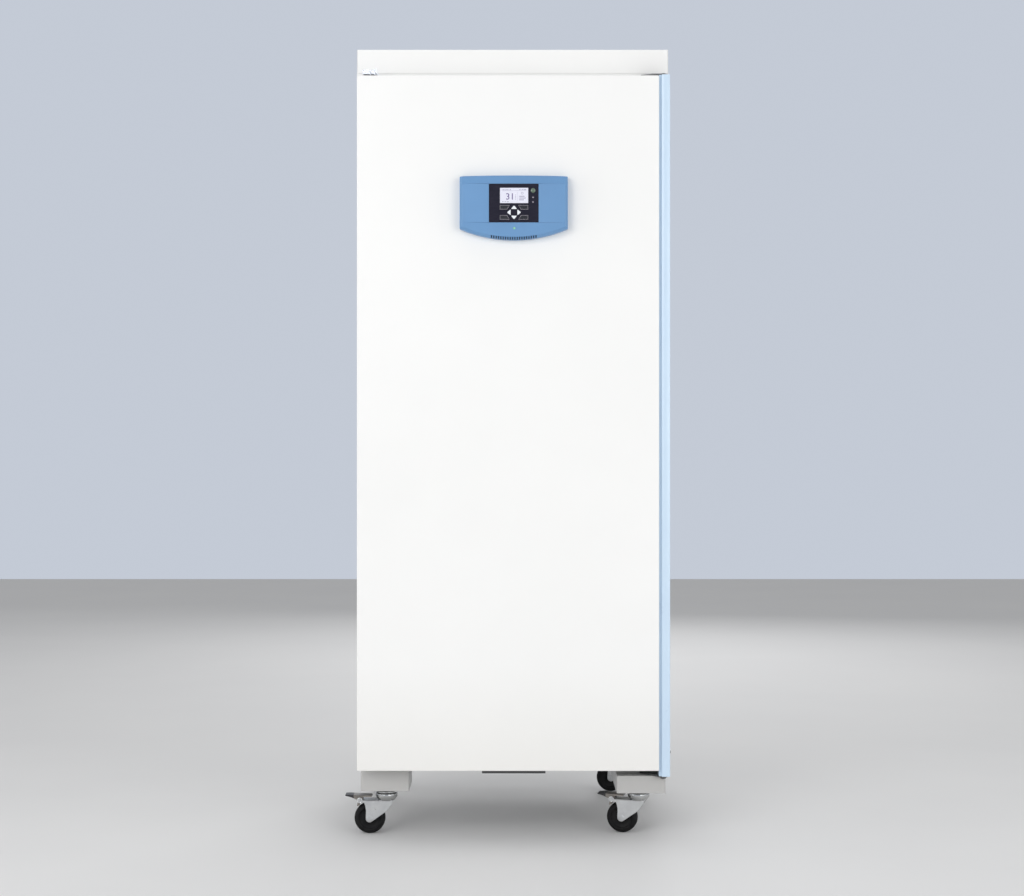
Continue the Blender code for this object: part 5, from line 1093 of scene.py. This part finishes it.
def dish_shape():
    """Swivel dish on the fork, below the fixed race."""
    low, high = FORK_TOP, RACE_SPLIT_Z
    return turned([
        (0.0, low - 0.0006), (RACE_R - 0.0075, low - 0.0006), (RACE_R - 0.0064, low + 0.0010),
        (RACE_R - 0.0052, low + 0.0034), (RACE_R - 0.0030, low + 0.0056), (RACE_R - 0.0016, low + 0.0090),
        (RACE_R - 0.0012, high - 0.0026), (RACE_R - 0.0020, high - 0.0010), (RACE_R - 0.0040, high - 0.0004),
        (0.0, high - 0.0004),
    ], 64, angle=50)


def across(side, inner, outer):
    """The lower and upper Y of a part on one side of the wheel."""
    return sorted((side * (LEG_INNER + inner), side * (LEG_OUTER + outer)))


def fork_shape(braked):
    """Pressed fork: two legs from a bridge, and the axle with its nuts."""
    rim = [(0.0072, -0.0003), (0.0080, 0.0002), (0.0072, 0.0007), (0.0056, 0.0007), (0.0056, -0.0003)]
    bridge = prism(rounded(-0.017, -LEG_OUTER, 0.057, LEG_OUTER, 0.006), "Z", FORK_TOP - 0.0025, FORK_TOP)
    parts = [softened(bridge, 0.0009, 3, 50)]
    for side in (-1, 1):
        parts.append(softened(prism(leg_outline(), "Y", *across(side, 0.0, 0.0)), 0.0007, 3, 50))
        seam = lathe(rim, 32, True)
        parts.append(along_axle(moved(seam, facing((0.0, 0.0, -side * LEG_OUTER), (0.0, 0.0, -side)))))
        nut = softened(prism(arc((0.0, 0.0), 0.0062, 0, 300, 5), "Z", 0.0, 0.0024), 0.0004, 2, 50)
        parts.append(along_axle(moved(nut, facing((0.0, 0.0, side * LEG_OUTER), (0.0, 0.0, side)))))
    half = [(0.0042, LEG_OUTER + 0.0022), (0.0036, LEG_OUTER + 0.0028), (0.0, LEG_OUTER + 0.0028)]
    parts.append(along_axle(turned([(r, -w) for r, w in reversed(half)] + half, 24)))
    if braked:
        for side in (-1, 1):
            round_end = arc((PEDAL_U, FORK_TOP - 0.001), 0.0062, 0, 345, 23)
            ear = prism(round_end, "Y", *across(side, -0.0002, 0.0004))
            low, high = across(side, -0.0001, 0.0002)
            web = box((0.047, low, FORK_TOP - 0.0062), (0.0622, high, FORK_TOP - 0.0003))
            parts += [softened(ear, 0.0006, 3, 50), softened(web, 0.0005, 2, 50)]
        half = [(0.0025, -0.0002), (0.0036, 0.0006), (0.0030, 0.0012), (0.0, 0.0012)]
        half = [(radius, LEG_OUTER + reach) for radius, reach in half]
        pin = turned([(r, -w) for r, w in reversed(half)] + half, 20)
        lay = Matrix.Translation((PEDAL_U, 0.0, FORK_TOP)) @ Matrix.Rotation(math.radians(90.0), 4, "X")
        parts.append(moved(pin, lay))
    return together(*parts)


def pedal_pieces(place, matrix):
    """Steel lever with its shoe and rolled barrel, and a ribbed tread on the end that reaches out."""
    node = "brake_pedal_" + place
    body = body_of(node)
    whole = softened(welded(node), 0.0006, 2, 50)
    wide, low, high = 0.030, 0.050, 0.120
    outside = moved(box((TREAD_U, -wide, low), (2 * PEDAL_U, wide, high)), matrix)
    inside = moved(box((0.0, -wide, low), (TREAD_U + FINE, wide, high)), matrix)
    add_piece("pedal_lever_" + place, faired(cut(whole, outside)), LEVER_STEEL, body, (node,))
    ribs = []
    for k in range(5):
        u = TREAD_U + 0.0035 + k * 0.0034
        rib = box((u, -0.0125, TREAD_TOP - 0.001), (u + 0.0014, 0.0125, TREAD_TOP + 0.0004))
        ribs.append(softened(rib, 0.0004))
    tread = together(faired(cut(whole, inside)), moved(together(*ribs), matrix))
    add_piece("pedal_tread_" + place, tread, BLACK_MOULDING, body)
    rolls = []
    for side in (-1, 1):
        path = []
        for k in range(41):
            turn, radius = math.radians(15.0 * k), 0.0046 + 0.0022 * k / 40
            across_u, up = radius * math.cos(turn), radius * math.sin(turn)
            path.append((PEDAL_U + across_u, side * ROLL_V, FORK_TOP + up))
        rolls.append(tube(path, 0.0007, 8))
    add_piece("pedal_roll_" + place, moved(smoothed(together(*rolls)), matrix), ZINC, body)


def race_shape(place):
    """Fixed race under the top plate: a rolled rim over a shallow bowl."""
    low, high = RACE_SPLIT_Z, PLATE_LOW + 0.0004
    return turned([
        (0.0, low), (RACE_R - 0.0052, low), (RACE_R - 0.0036, low + 0.0006), (RACE_R - 0.0008, low + 0.0020),
        (RACE_R, low + 0.0036), (RACE_R - 0.0004, low + 0.0052), (RACE_R - 0.0022, low + 0.0066),
        (RACE_R - 0.0030, high), (0.0, high),
    ], 64, place, angle=50)


def base_block(place):
    """The block without its race, which is made round below, and with its rims softened."""
    node = "caster_mount_" + place
    bm = bm_of(welded(node))
    low = [v for v in bm.verts if v.co.z < PLATE_LOW - 2 * FINE]
    bmesh.ops.delete(bm, geom=low, context="VERTS")
    stand_in("base_block_" + place, softened(mesh_from(bm), 0.0007, 2, 60), node)


def caster_pieces():
    seats = []
    for place in PLACES:
        matrix = caster_place(place)
        braked = place.startswith("front")
        stand_in("wheel_" + place, moved(wheel_shape(), matrix), "caster_wheel_" + place)
        stand_in("fork_" + place, moved(fork_shape(braked), matrix), "caster_fork_" + place)
        add_piece("dish_" + place, moved(dish_shape(), matrix), RACE_STEEL, "caster_fork_" + place)
        base_block(place)
        x, y, _ = JOINTS["swivel_" + place]["pos_m"]
        add_piece("race_" + place, race_shape((x, y, 0.0)), RACE_STEEL, "cabinet")
        for du in (-BOLT_REACH, BOLT_REACH):
            for dv in (-BOLT_REACH, BOLT_REACH):
                seats.append(((x + du, y + dv, PLATE_LOW), DOWNWARD))
        if braked:
            pedal_pieces(place, matrix)
    fixings("caster_bolts", HEX_BOLT, seats, ZINC, 0.9)


# Inside the chamber

LINER_WALL = 0.0015
LINER_CORNER = 0.014
LINER_NOSE = 0.004
LINER_RIM = 0.012
STEP_FACE_Y = 0.07075
STEP_TOP_Z = 0.440
SHELF_CORNER = 0.016
SHELF_WIRES = 44
RIM_WIRE_R = 0.0025
GRID_WIRE_R = 0.0012
UPRIGHT_W = 0.018
UPRIGHT_T = 0.004
UPRIGHT_INSET = 0.004
SLOT_PITCH = 0.025
SLOT_W = 0.005
RUNNER_COUNT = 8
RUNNER_PITCH = 0.150
RUNNER_LIFT = 0.030
RUNNER_H = 0.003
SHEET_T = 0.0012


def chamber_air(front):
    """The space in the chamber, over its step, with every corner round."""
    low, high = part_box("chamber_liner")
    floor, ceiling, rear = low.z + LINER_WALL, high.z - LINER_WALL, high.y - LINER_WALL
    corner, nose = LINER_CORNER, LINER_NOSE
    outline = [(front, floor)]
    outline += arc((STEP_FACE_Y - corner, floor + corner), corner, 270, 360, 6)
    outline += arc((STEP_FACE_Y + nose, STEP_TOP_Z - nose), nose, 180, 90, 4)
    outline += arc((rear - corner, STEP_TOP_Z + corner), corner, 270, 360, 6)
    outline += arc((rear - corner, ceiling - corner), corner, 0, 90, 6)
    outline.append((front, ceiling))
    return pillowed(outline, "X", low.x + LINER_WALL, high.x - LINER_WALL, LINER_RIM, 6)


def liner_pieces():
    """Moulded liner with round corners, and the frame round its mouth."""
    low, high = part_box("chamber_liner")
    wall = LINER_WALL
    outline = [
        (low.y, low.z), (STEP_FACE_Y + wall, low.z), (STEP_FACE_Y + wall, STEP_TOP_Z - wall),
        (high.y, STEP_TOP_Z - wall), (high.y, high.z), (low.y, high.z),
    ]
    liner = cut(prism(outline, "X", low.x, high.x), chamber_air(low.y - 2 * LINER_RIM))
    stand_in("liner", faired(liner, 30), "chamber_liner")
    mouth = rounded(low.x + wall, low.z + wall, high.x - wall, high.z - wall, LINER_RIM, 8)
    low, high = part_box("front_frame")
    frame_ring = prism(rectangle(low.x, low.z, high.x, high.z), "Y", low.y, high.y, [mouth])
    stand_in("mouth_frame", softened(frame_ring, 0.0012, 3, 60), "front_frame")


def wire_shelf(node):
    """Wire shelf: a round rim, close wires from front to back, and bearers under them."""
    low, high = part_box(node)
    x0, x1 = low.x + RIM_WIRE_R, high.x - RIM_WIRE_R
    y0, y1 = low.y + RIM_WIRE_R, high.y - RIM_WIRE_R
    edge = [(x, y, low.z + RIM_WIRE_R) for x, y in rounded(x0, y0, x1, y1, SHELF_CORNER, 8)]
    top, under = high.z - GRID_WIRE_R, low.z + GRID_WIRE_R + FINE
    bars = []
    for k in range(SHELF_WIRES):
        x = x0 + (x1 - x0) * (k + 1) / (SHELF_WIRES + 1)
        bars.append([(x, y0, top), (x, y1, top)])
    for share in (0.18, 0.5, 0.82):
        y = y0 + (y1 - y0) * share
        bars.append([(x0, y, under), (x1, y, under)])
    rim = wires([edge + edge[:1]], RIM_WIRE_R, STAINLESS, 10)
    stand_in(node + "_wires", together(rim, wires(bars, GRID_WIRE_R, STAINLESS)), node)


def slotted_strip(y, low_z, high_z, wall, face):
    """A flat upright with a rounded slot in every step of its length."""
    count = round((high_z - low_z) / SLOT_PITCH)
    pitch = (high_z - low_z) / count
    middle = y + UPRIGHT_W / 2
    steps = []
    for k in range(count):
        z = low_z + k * pitch
        slot = rounded(middle - SLOT_W / 2, z + 0.007, middle + SLOT_W / 2, z + 0.018, 0.0015, 2)
        steps.append(prism(rectangle(y, z, y + UPRIGHT_W, z + pitch), "X", wall, face, [slot]))
    bm = bm_of(*steps)
    bmesh.ops.remove_doubles(bm, verts=bm.verts, dist=FINE)
    seam_area = 0.9 * UPRIGHT_W * abs(face - wall)
    seams = []
    for side in bm.faces:
        inside = low_z + FINE < side.calc_center_median().z < high_z - FINE
        if inside and abs(side.normal.z) > 0.9 and side.calc_area() > seam_area:
            seams.append(side)
    bmesh.ops.delete(bm, geom=seams, context="FACES")
    bmesh.ops.recalc_face_normals(bm, faces=bm.faces)
    return softened(mesh_from(bm), 0.0004, 1, 60)


def shelf_ladder(node):
    """Two slotted uprights on a side wall, and folded runners hooked between them."""
    low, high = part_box(node)
    wall, inner, side = (low.x, high.x, 1) if low.x < 0 else (high.x, low.x, -1)
    face = wall + side * UPRIGHT_T
    parts = []
    for y in (low.y + UPRIGHT_INSET, high.y - UPRIGHT_INSET - UPRIGHT_W):
        parts.append(slotted_strip(y, low.z, high.z, wall, face))
    back, lip, under = face + side * FINE, inner - side * SHEET_T, RUNNER_H - SHEET_T
    section = [(back, under), (lip, under), (lip, 0.0), (inner, 0.0), (inner, RUNNER_H), (back, RUNNER_H)]
    runner = softened(prism(section, "Y", low.y, high.y), 0.0003, 1, 50)
    first, step = (0.0, 0.0, low.z + RUNNER_LIFT), (0.0, 0.0, RUNNER_PITCH)
    runners = grown(ROW, runner, STAINLESS, Count=RUNNER_COUNT, Start=first, Step=step)
    stand_in(node + "_rack", together(*parts, smoothed(runners, 30)), node)


FAN_BLADES = 5
FAN_R = 0.0685
FAN_HUB_R = 0.018
FAN_SWEEP = 52.0
FAN_LEAN = 6.0
BLADE_T = 0.0014
MOTOR_R = 0.026
MOTOR_SET = 0.010
MOTOR_ARM_SET = 0.0145
MOTOR_REACH = 0.088
MOTOR_BEND_R = 0.008
HEATER_RING_R = 0.098
HEATER_TUBE_R = 0.0035


def round_about(x, y, z, radius, turn):
    """A point at a radius and angle about an axis that runs along Y."""
    return Vector((x + radius * math.cos(turn), y, z + radius * math.sin(turn)))


def fan_blade(low, high, x, z, start):
    """One twisted blade, from its front edge to its rear edge."""
    across_steps, along_steps = 14, 8
    margin = 0.09 * (high.y - low.y)
    root = FAN_HUB_R * 0.9
    points, faces = [], []
    for i in range(across_steps + 1):
        t = i / across_steps
        y = low.y + margin + (high.y - low.y - 2 * margin) * (0.5 - 0.5 * math.cos(math.pi * t))
        tip = FAN_R - 0.0060 * abs(2 * t - 1) ** 5
        for j in range(along_steps + 1):
            radius = root + (tip - root) * j / along_steps
            turn = math.radians(start + FAN_SWEEP * (t - 0.5) + FAN_LEAN * radius / FAN_R)
            points.append(round_about(x, y, z, radius, turn))
    for i in range(across_steps):
        for j in range(along_steps):
            a = i * (along_steps + 1) + j
            faces.append((a, a + 1, a + along_steps + 2, a + along_steps + 1))
    return smoothed(baked(mesh_of(points, faces), ("SOLIDIFY", {"thickness": BLADE_T, "offset": 0.0})), 40)


def fan_rotor():
    """Axial rotor: a domed hub with twisted blades that turn back as they sweep round."""
    low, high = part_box("fan_rotor")
    x, _, z = JOINTS["fan_spin"]["pos_m"]
    depth = high.y - low.y
    parts = [turned([
        (0.0, 0.0), (FAN_HUB_R, 0.0), (FAN_HUB_R, depth - 0.0050), (FAN_HUB_R - 0.0010, depth - 0.0024),
        (FAN_HUB_R - 0.0040, depth - 0.0006), (0.0060, depth), (0.0050, depth - 0.0010),
        (0.0, depth - 0.0010),
    ], 48, (x, high.y, z), FORWARD, 50)]
    parts += [fan_blade(low, high, x, z, 360.0 * k / FAN_BLADES) for k in range(FAN_BLADES)]
    stand_in("fan", together(*parts), "fan_rotor")


def fan_motor():
    """Shaded-pole motor can on three bent arms behind the duct's sheet."""
    low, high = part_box("fan_motor")
    x, _, z = JOINTS["fan_spin"]["pos_m"]
    depth = high.y - low.y - MOTOR_SET
    parts = [turned([
        (0.0, 0.0), (MOTOR_R - 0.0030, 0.0), (MOTOR_R - 0.0008, 0.0010), (MOTOR_R, 0.0034),
        (MOTOR_R, depth * 0.44), (MOTOR_R - 0.0008, depth * 0.46), (MOTOR_R - 0.0008, depth * 0.52),
        (MOTOR_R, depth * 0.54), (MOTOR_R, depth - 0.0030), (MOTOR_R - 0.0020, depth), (0.0080, depth),
        (0.0070, depth - 0.0008), (0.0, depth - 0.0008),
    ], 56, (x, high.y, z), FORWARD)]
    plane = low.y + MOTOR_ARM_SET
    straight = MOTOR_REACH - MOTOR_BEND_R
    for turn in map(math.radians, (90, 210, 330)):
        path = [round_about(x, plane, z, 0.020, turn), round_about(x, plane, z, straight, turn)]
        for k in range(1, 7):
            bend = math.radians(15.0 * k)
            y = plane - MOTOR_BEND_R * (1 - math.cos(bend))
            path.append(round_about(x, y, z, straight + MOTOR_BEND_R * math.sin(bend), turn))
        foot = (path[-1].x, low.y, path[-1].z)
        parts.append(smoothed(tube([*path, foot], 0.0024, 10), 50))
        flange = [(0.0, 0.0), (0.0062, 0.0), (0.0062, 0.0008), (0.0054, 0.0014), (0.0, 0.0014)]
        parts.append(turned(flange, 24, foot, BACKWARD))
    stand_in("motor", together(*parts), "fan_motor")


def heater():
    """Ring heater round the fan's opening, on two clips."""
    low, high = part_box("heater_element")
    x, _, z = JOINTS["fan_spin"]["pos_m"]
    y = high.y - HEATER_TUBE_R
    reach = y - low.y
    ring = [(x + u, y, z + v) for u, v in arc((0.0, 0.0), HEATER_RING_R, -60, 240, 72)]
    path = [(ring[0][0], y, low.z), (ring[0][0], y, ring[0][2] - 0.004), *ring]
    path += [(ring[-1][0], y, ring[-1][2] - 0.004), (ring[-1][0], y, low.z)]
    parts = [smoothed(tube(path, HEATER_TUBE_R - FINE, 14), 50)]
    for turn in (math.radians(45.0), math.radians(135.0)):
        clip = round_about(x, y, z, HEATER_RING_R, turn)
        post = [(0.0, 0.0), (0.0050, 0.0), (0.0050, 0.0008), (0.0026, 0.0014), (0.0024, reach), (0.0, reach)]
        parts.append(turned(post, 20, (clip.x, low.y, clip.z), BACKWARD))
        strap = lathe([(0.0034, -0.003), (0.0042, -0.003), (0.0042, 0.003), (0.0034, 0.003)], 24, True)
        parts.append(moved(smoothed(strap, 40), facing(clip, (-math.sin(turn), 0.0, math.cos(turn)))))
    stand_in("ring_heater", together(*parts), "heater_element")


def to_and_fro(reach, low, pitch, runs, y, corner, middle):
    """Path to and fro along X that climbs in Z, with round corners."""
    path = []
    for k in range(runs):
        z = low + k * pitch
        way = 1 if k % 2 == 0 else -1
        if k == 0:
            path.append((middle - way * reach, y, z))
        if k < runs - 1:
            for start, centre_z in ((-90, z + corner), (0, z + pitch - corner)):
                for degrees in range(start, start + 91, 15):
                    turn = math.radians(degrees)
                    out = reach - corner + corner * math.cos(turn)
                    path.append((middle + way * out, y, centre_z + corner * math.sin(turn)))
        else:
            path.append((middle + way * reach, y, z))
    return path


EVAPORATOR_HALF_W = 0.210
EVAPORATOR_T = 0.0016
EVAPORATOR_STAND = 0.004
CHANNEL_R = 0.0035
CHANNEL_RUNS = 6


def evaporator():
    """Roll-bonded cold plate with its raised channel, on four feet behind the duct."""
    low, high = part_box("evaporator")
    middle = (low.x + high.x) / 2
    rear = high.y - EVAPORATOR_STAND
    front = rear - EVAPORATOR_T
    plate = rounded(middle - EVAPORATOR_HALF_W, low.z, middle + EVAPORATOR_HALF_W, high.z, 0.010, 4)
    pitch = (high.z - low.z - 0.080) / (CHANNEL_RUNS - 1)
    path = to_and_fro(EVAPORATOR_HALF_W - 0.022, low.z + 0.040, pitch, CHANNEL_RUNS, front, 0.022, middle)
    parts = [softened(prism(plate, "Y", front, rear), 0.0004, 2, 50), smoothed(tube(path, CHANNEL_R, 12), 50)]
    foot = [(0.0, 0.0), (0.0040, 0.0), (0.0040, high.y - front), (0.0, high.y - front)]
    for side in (-1, 1):
        for z in (low.z + 0.020, high.z - 0.020):
            seat = (middle + side * (EVAPORATOR_HALF_W - 0.012), front - FINE, z)
            parts.append(turned(foot, 20, seat, BACKWARD))
    stand_in("cold_plate", together(*parts), "evaporator")


def chamber_pieces():
    liner_pieces()
    for node in ("grid_shelf_1", "grid_shelf_2", "grid_shelf_3"):
        wire_shelf(node)
    shelf_ladder("shelf_ladder_left")
    shelf_ladder("shelf_ladder_right")
    detailed("duct_cover", "air_duct", 0.0008, 2, 60)
    low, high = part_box("air_duct")
    seats = []
    for x in (low.x + 0.016, high.x - 0.016):
        for z in (low.z + 0.030, (low.z + high.z) / 2, high.z - 0.030):
            seats.append(((x, low.y, z), FORWARD))
    fixings("duct_screws", PAN_HEAD, seats, STAINLESS)
    fan_rotor()
    fan_motor()
    heater()
    detailed("probe", "temperature_probe", 0.0004, 2, 50)
    evaporator()


# Machine bay and rear

COMPRESSOR_R = 0.078
COMPRESSOR_H = 0.150
SEAM = 0.004
FOOT_PLATE = (0.210, 0.140, 0.018)
FOOT_PLATE_Z = (0.1715, 0.1745)
MOUNT_R = 0.009
MOUNT_H = 0.016
CONDENSER_REACH = 0.2105
CONDENSER_Y = 0.37025
CONDENSER_RUNS = 11
CONDENSER_TUBE_R = 0.003
CONDENSER_WIRES = 42
STANDOFF_FOOT_Y = 0.35455


def compressor_pieces():
    """Welded pot on a footed plate, its terminal cover, and the rubber mounts."""
    low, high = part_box("compressor")
    x, y, z = high.x - COMPRESSOR_R - 0.038, (low.y + high.y) / 2, low.z
    radius, belt, shoulder = COMPRESSOR_R, COMPRESSOR_H * 0.52, COMPRESSOR_H * 0.67
    profile = [
        (0.0, 0.0121), (radius * 0.80, 0.0121), (radius * 0.90, 0.0150), (radius * 0.97, 0.0215),
        (radius, COMPRESSOR_H * 0.22), (radius, belt - 0.001), (radius + SEAM, belt + 0.001),
        (radius + SEAM, belt + SEAM * 1.6), (radius + 0.0012, belt + SEAM * 2.2), (radius, belt + SEAM * 2.8),
        (radius, shoulder),
    ]
    for k in range(1, 15):
        turn = math.radians(6.0 * k)
        dome = shoulder + (COMPRESSOR_H - shoulder) * math.sin(turn)
        profile.append((radius * math.cos(turn) ** 0.8, dome))
    profile.append((0.0, COMPRESSOR_H))
    wide, deep, corner = FOOT_PLATE
    plate = rounded(x - wide / 2, y - deep / 2, x + wide / 2, y + deep / 2, corner, 6)
    plate = prism(plate, "Z", *FOOT_PLATE_Z)
    cover = box((x + radius * 0.87, y - 0.028, z + 0.0475), (high.x, y + 0.028, z + 0.1025))
    parts = [turned(profile, 72, (x, y, z)), softened(plate, 0.0008, 2, 50), softened(cover, 0.0040, 4, 50)]
    stand_in("compressor_pot", together(*parts), "compressor")
    mounts = []
    for sx in (-1, 1):
        for sy in (-1, 1):
            seat = (x + sx * (wide / 2 - corner + 0.001), y + sy * (deep / 2 - corner + 0.001), z)
            mounts.append(turned([
                (0.0, 0.0), (MOUNT_R, 0.0), (MOUNT_R, 0.0070), (MOUNT_R - 0.0025, 0.0088),
                (MOUNT_R - 0.0025, 0.0128), (MOUNT_R - 0.0010, 0.0135), (MOUNT_R - 0.0014, MOUNT_H - 0.0006),
                (MOUNT_R - 0.0030, MOUNT_H), (0.0, MOUNT_H),
            ], 32, seat))
    add_piece("compressor_mounts", together(*mounts), TYRE, "cabinet")


def serpentine(reach, low, pitch, runs, y, middle):
    """Path to and fro along X that climbs in Z by half-circle bends."""
    path = []
    for k in range(runs):
        z = low + k * pitch
        way = 1 if k % 2 == 0 else -1
        path.append((middle - way * reach, y, z))
        path.append((middle + way * reach, y, z))
        if k < runs - 1:
            for turn in range(-75, 90, 15):
                bend = math.radians(turn)
                out, up = pitch / 2 * math.cos(bend), pitch / 2 * (1 + math.sin(bend))
                path.append((middle + way * (reach + out), y, z + up))
    return path


def condenser():
    """Wire-on-tube condenser: a serpentine tube, upright wires on both sides, strips and standoffs."""
    low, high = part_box("condenser")
    middle = (low.x + high.x) / 2
    left = middle - CONDENSER_REACH
    first = low.z + 0.020
    pitch = (high.z - low.z - 0.040) / (CONDENSER_RUNS - 1)
    path = serpentine(CONDENSER_REACH, first, pitch, CONDENSER_RUNS, CONDENSER_Y, middle)
    uprights = []
    for k in range(CONDENSER_WIRES):
        x = left + 2 * CONDENSER_REACH * (k + 0.5) / CONDENSER_WIRES
        for y in (CONDENSER_Y - 0.0036, CONDENSER_Y + 0.0036):
            uprights.append([(x, y, low.z + 0.004), (x, y, high.z - 0.004)])
    parts = [smoothed(tube(path, CONDENSER_TUBE_R, 12), 50), wires(uprights, 0.0007, DARK_STEEL, 6)]
    for k in range(4):
        x = left + 2 * CONDENSER_REACH * k / 3
        strip = box((x - 0.002, CONDENSER_Y + 0.0012, low.z), (x + 0.002, CONDENSER_Y + 0.0042, high.z))
        parts.append(softened(strip, 0.0003, 1, 50))
    reach = CONDENSER_Y + 0.003 - STANDOFF_FOOT_Y
    post = [(0.0, 0.0), (0.0075, 0.0), (0.0075, 0.0012), (0.0046, 0.0018), (0.0042, reach), (0.0, reach)]
    for side in (-1, 1):
        for z in (first - 0.012, high.z - 0.008):
            parts.append(turned(post, 24, (middle + side * CONDENSER_REACH, STANDOFF_FOOT_Y, z), BACKWARD))
    stand_in("rear_condenser", together(*parts), "condenser")


def rear_pieces():
    compressor_pieces()
    detailed("drip_tray", "evaporation_tray", 0.0006, 2, 60)
    condenser()
    detailed("inlet", "mains_inlet", 0.0005, 2, 60)
    shell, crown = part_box("outer_shell"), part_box("top_cover")
    seats = [((x, shell[1].y, 0.45 + k * 0.265), BACKWARD) for x in (-0.3525, 0.3775) for k in range(6)]
    for share in (0.06, 0.5, 0.94):
        x = crown[0].x + (crown[1].x - crown[0].x) * share
        seats.append(((x, crown[1].y, crown[0].z + 0.011), BACKWARD))
    fixings("rear_screws", PAN_HEAD, seats, ZINC)


# Floor, light and camera

# Area lamps: name, place, target, size and power
LAMPS = (
    ("key_light", (-2.3, -4.4, 2.3), (0.0, 0.0, 0.9), (2.4, 2.4), 73.5),
    ("fill_light", (2.5, -4.2, 1.4), (0.0, 0.0, 0.7), (2.2, 2.2), 42.0),
    ("top_light", (0.0, -0.3, 4.2), (0.0, 0.0, 1.0), (2.6, 2.6), 14.0),
    ("back_light", (0.6, 4.2, 2.6), (0.0, 0.0, 1.0), (2.6, 2.0), 52.0),
    ("left_light", (-3.3, -1.7, 1.4), (0.0, -0.3, 1.0), (1.6, 2.0), 21.0),
    ("right_light", (3.3, -1.7, 1.4), (0.0, -0.3, 1.0), (1.6, 2.0), 18.0),
)


def surroundings():
    """A pale blue sky for what the camera and reflections see, and plain white light for the rest."""
    world = bpy.data.worlds.new("studio")
    world.use_nodes = True
    bpy.context.scene.world = world
    tree = world.node_tree
    tree.nodes.clear()
    seen = new_node(tree, "ShaderNodeBackground", Color=(0.640, 0.690, 0.780, 1.0), Strength=0.86)
    lit = new_node(tree, "ShaderNodeBackground", Color=(1.0, 1.0, 1.0, 1.0), Strength=0.44)
    path = tree.nodes.new("ShaderNodeLightPath")
    share = path.outputs["Is Camera Ray"]
    for ray in ("Is Glossy Ray", "Is Transmission Ray"):
        either = tree.nodes.new("ShaderNodeMath")
        either.operation = "MAXIMUM"
        tree.links.new(share, either.inputs[0])
        tree.links.new(path.outputs[ray], either.inputs[1])
        share = either.outputs[0]
    mix = new_node(tree, "ShaderNodeMixShader", Fac=share)
    tree.links.new(lit.outputs[0], mix.inputs[1])
    tree.links.new(seen.outputs[0], mix.inputs[2])
    new_node(tree, "ShaderNodeOutputWorld", Surface=mix.outputs[0])


def studio():
    """Plain pale floor, even soft light, and the camera at the photograph's place."""
    pale = (0.78, 0.78, 0.78)
    floor_mesh = mesh_of([(-12, -12, 0), (12, -12, 0), (12, 7.46, 0), (-12, 7.46, 0)], [(0, 1, 2, 3)], False)
    floor_mesh.transform(Matrix.Translation((0.0, 0.0, -0.0002)))
    base = tone((noise, 1.5), pale, (0.76, 0.76, 0.762))
    floor_finish = new_finish("pale floor", pale, 0.75, base, 0.75, ((noise, 300.0), 0.03, 0.0005))
    floor_mesh.materials.append(floor_finish)
    linked("floor", floor_mesh)
    surroundings()
    for name, place, target, size, power in LAMPS:
        data = bpy.data.lights.new(name, "AREA")
        data.shape = "RECTANGLE"
        data.size, data.size_y = size
        data.energy = power
        lamp = linked(name, data)
        lamp.location = place
        lamp.rotation_euler = (Vector(target) - Vector(place)).to_track_quat("-Z", "Y").to_euler()

    data = bpy.data.cameras.new("camera")
    data.lens = CAMERA_LENS
    data.sensor_width = CAMERA_SENSOR
    data.shift_y = CAMERA_SHIFT_Y
    camera = linked("camera", data)
    camera.location = CAMERA_PLACE
    camera.rotation_euler = (math.radians(90.0), 0.0, 0.0)
    bpy.context.scene.camera = camera
    bpy.context.scene.view_settings.view_transform = "Standard"


body_pieces()
hinge_and_lock_pieces()
door_pieces()
housing_pieces()
caster_pieces()
chamber_pieces()
rear_pieces()
studio()
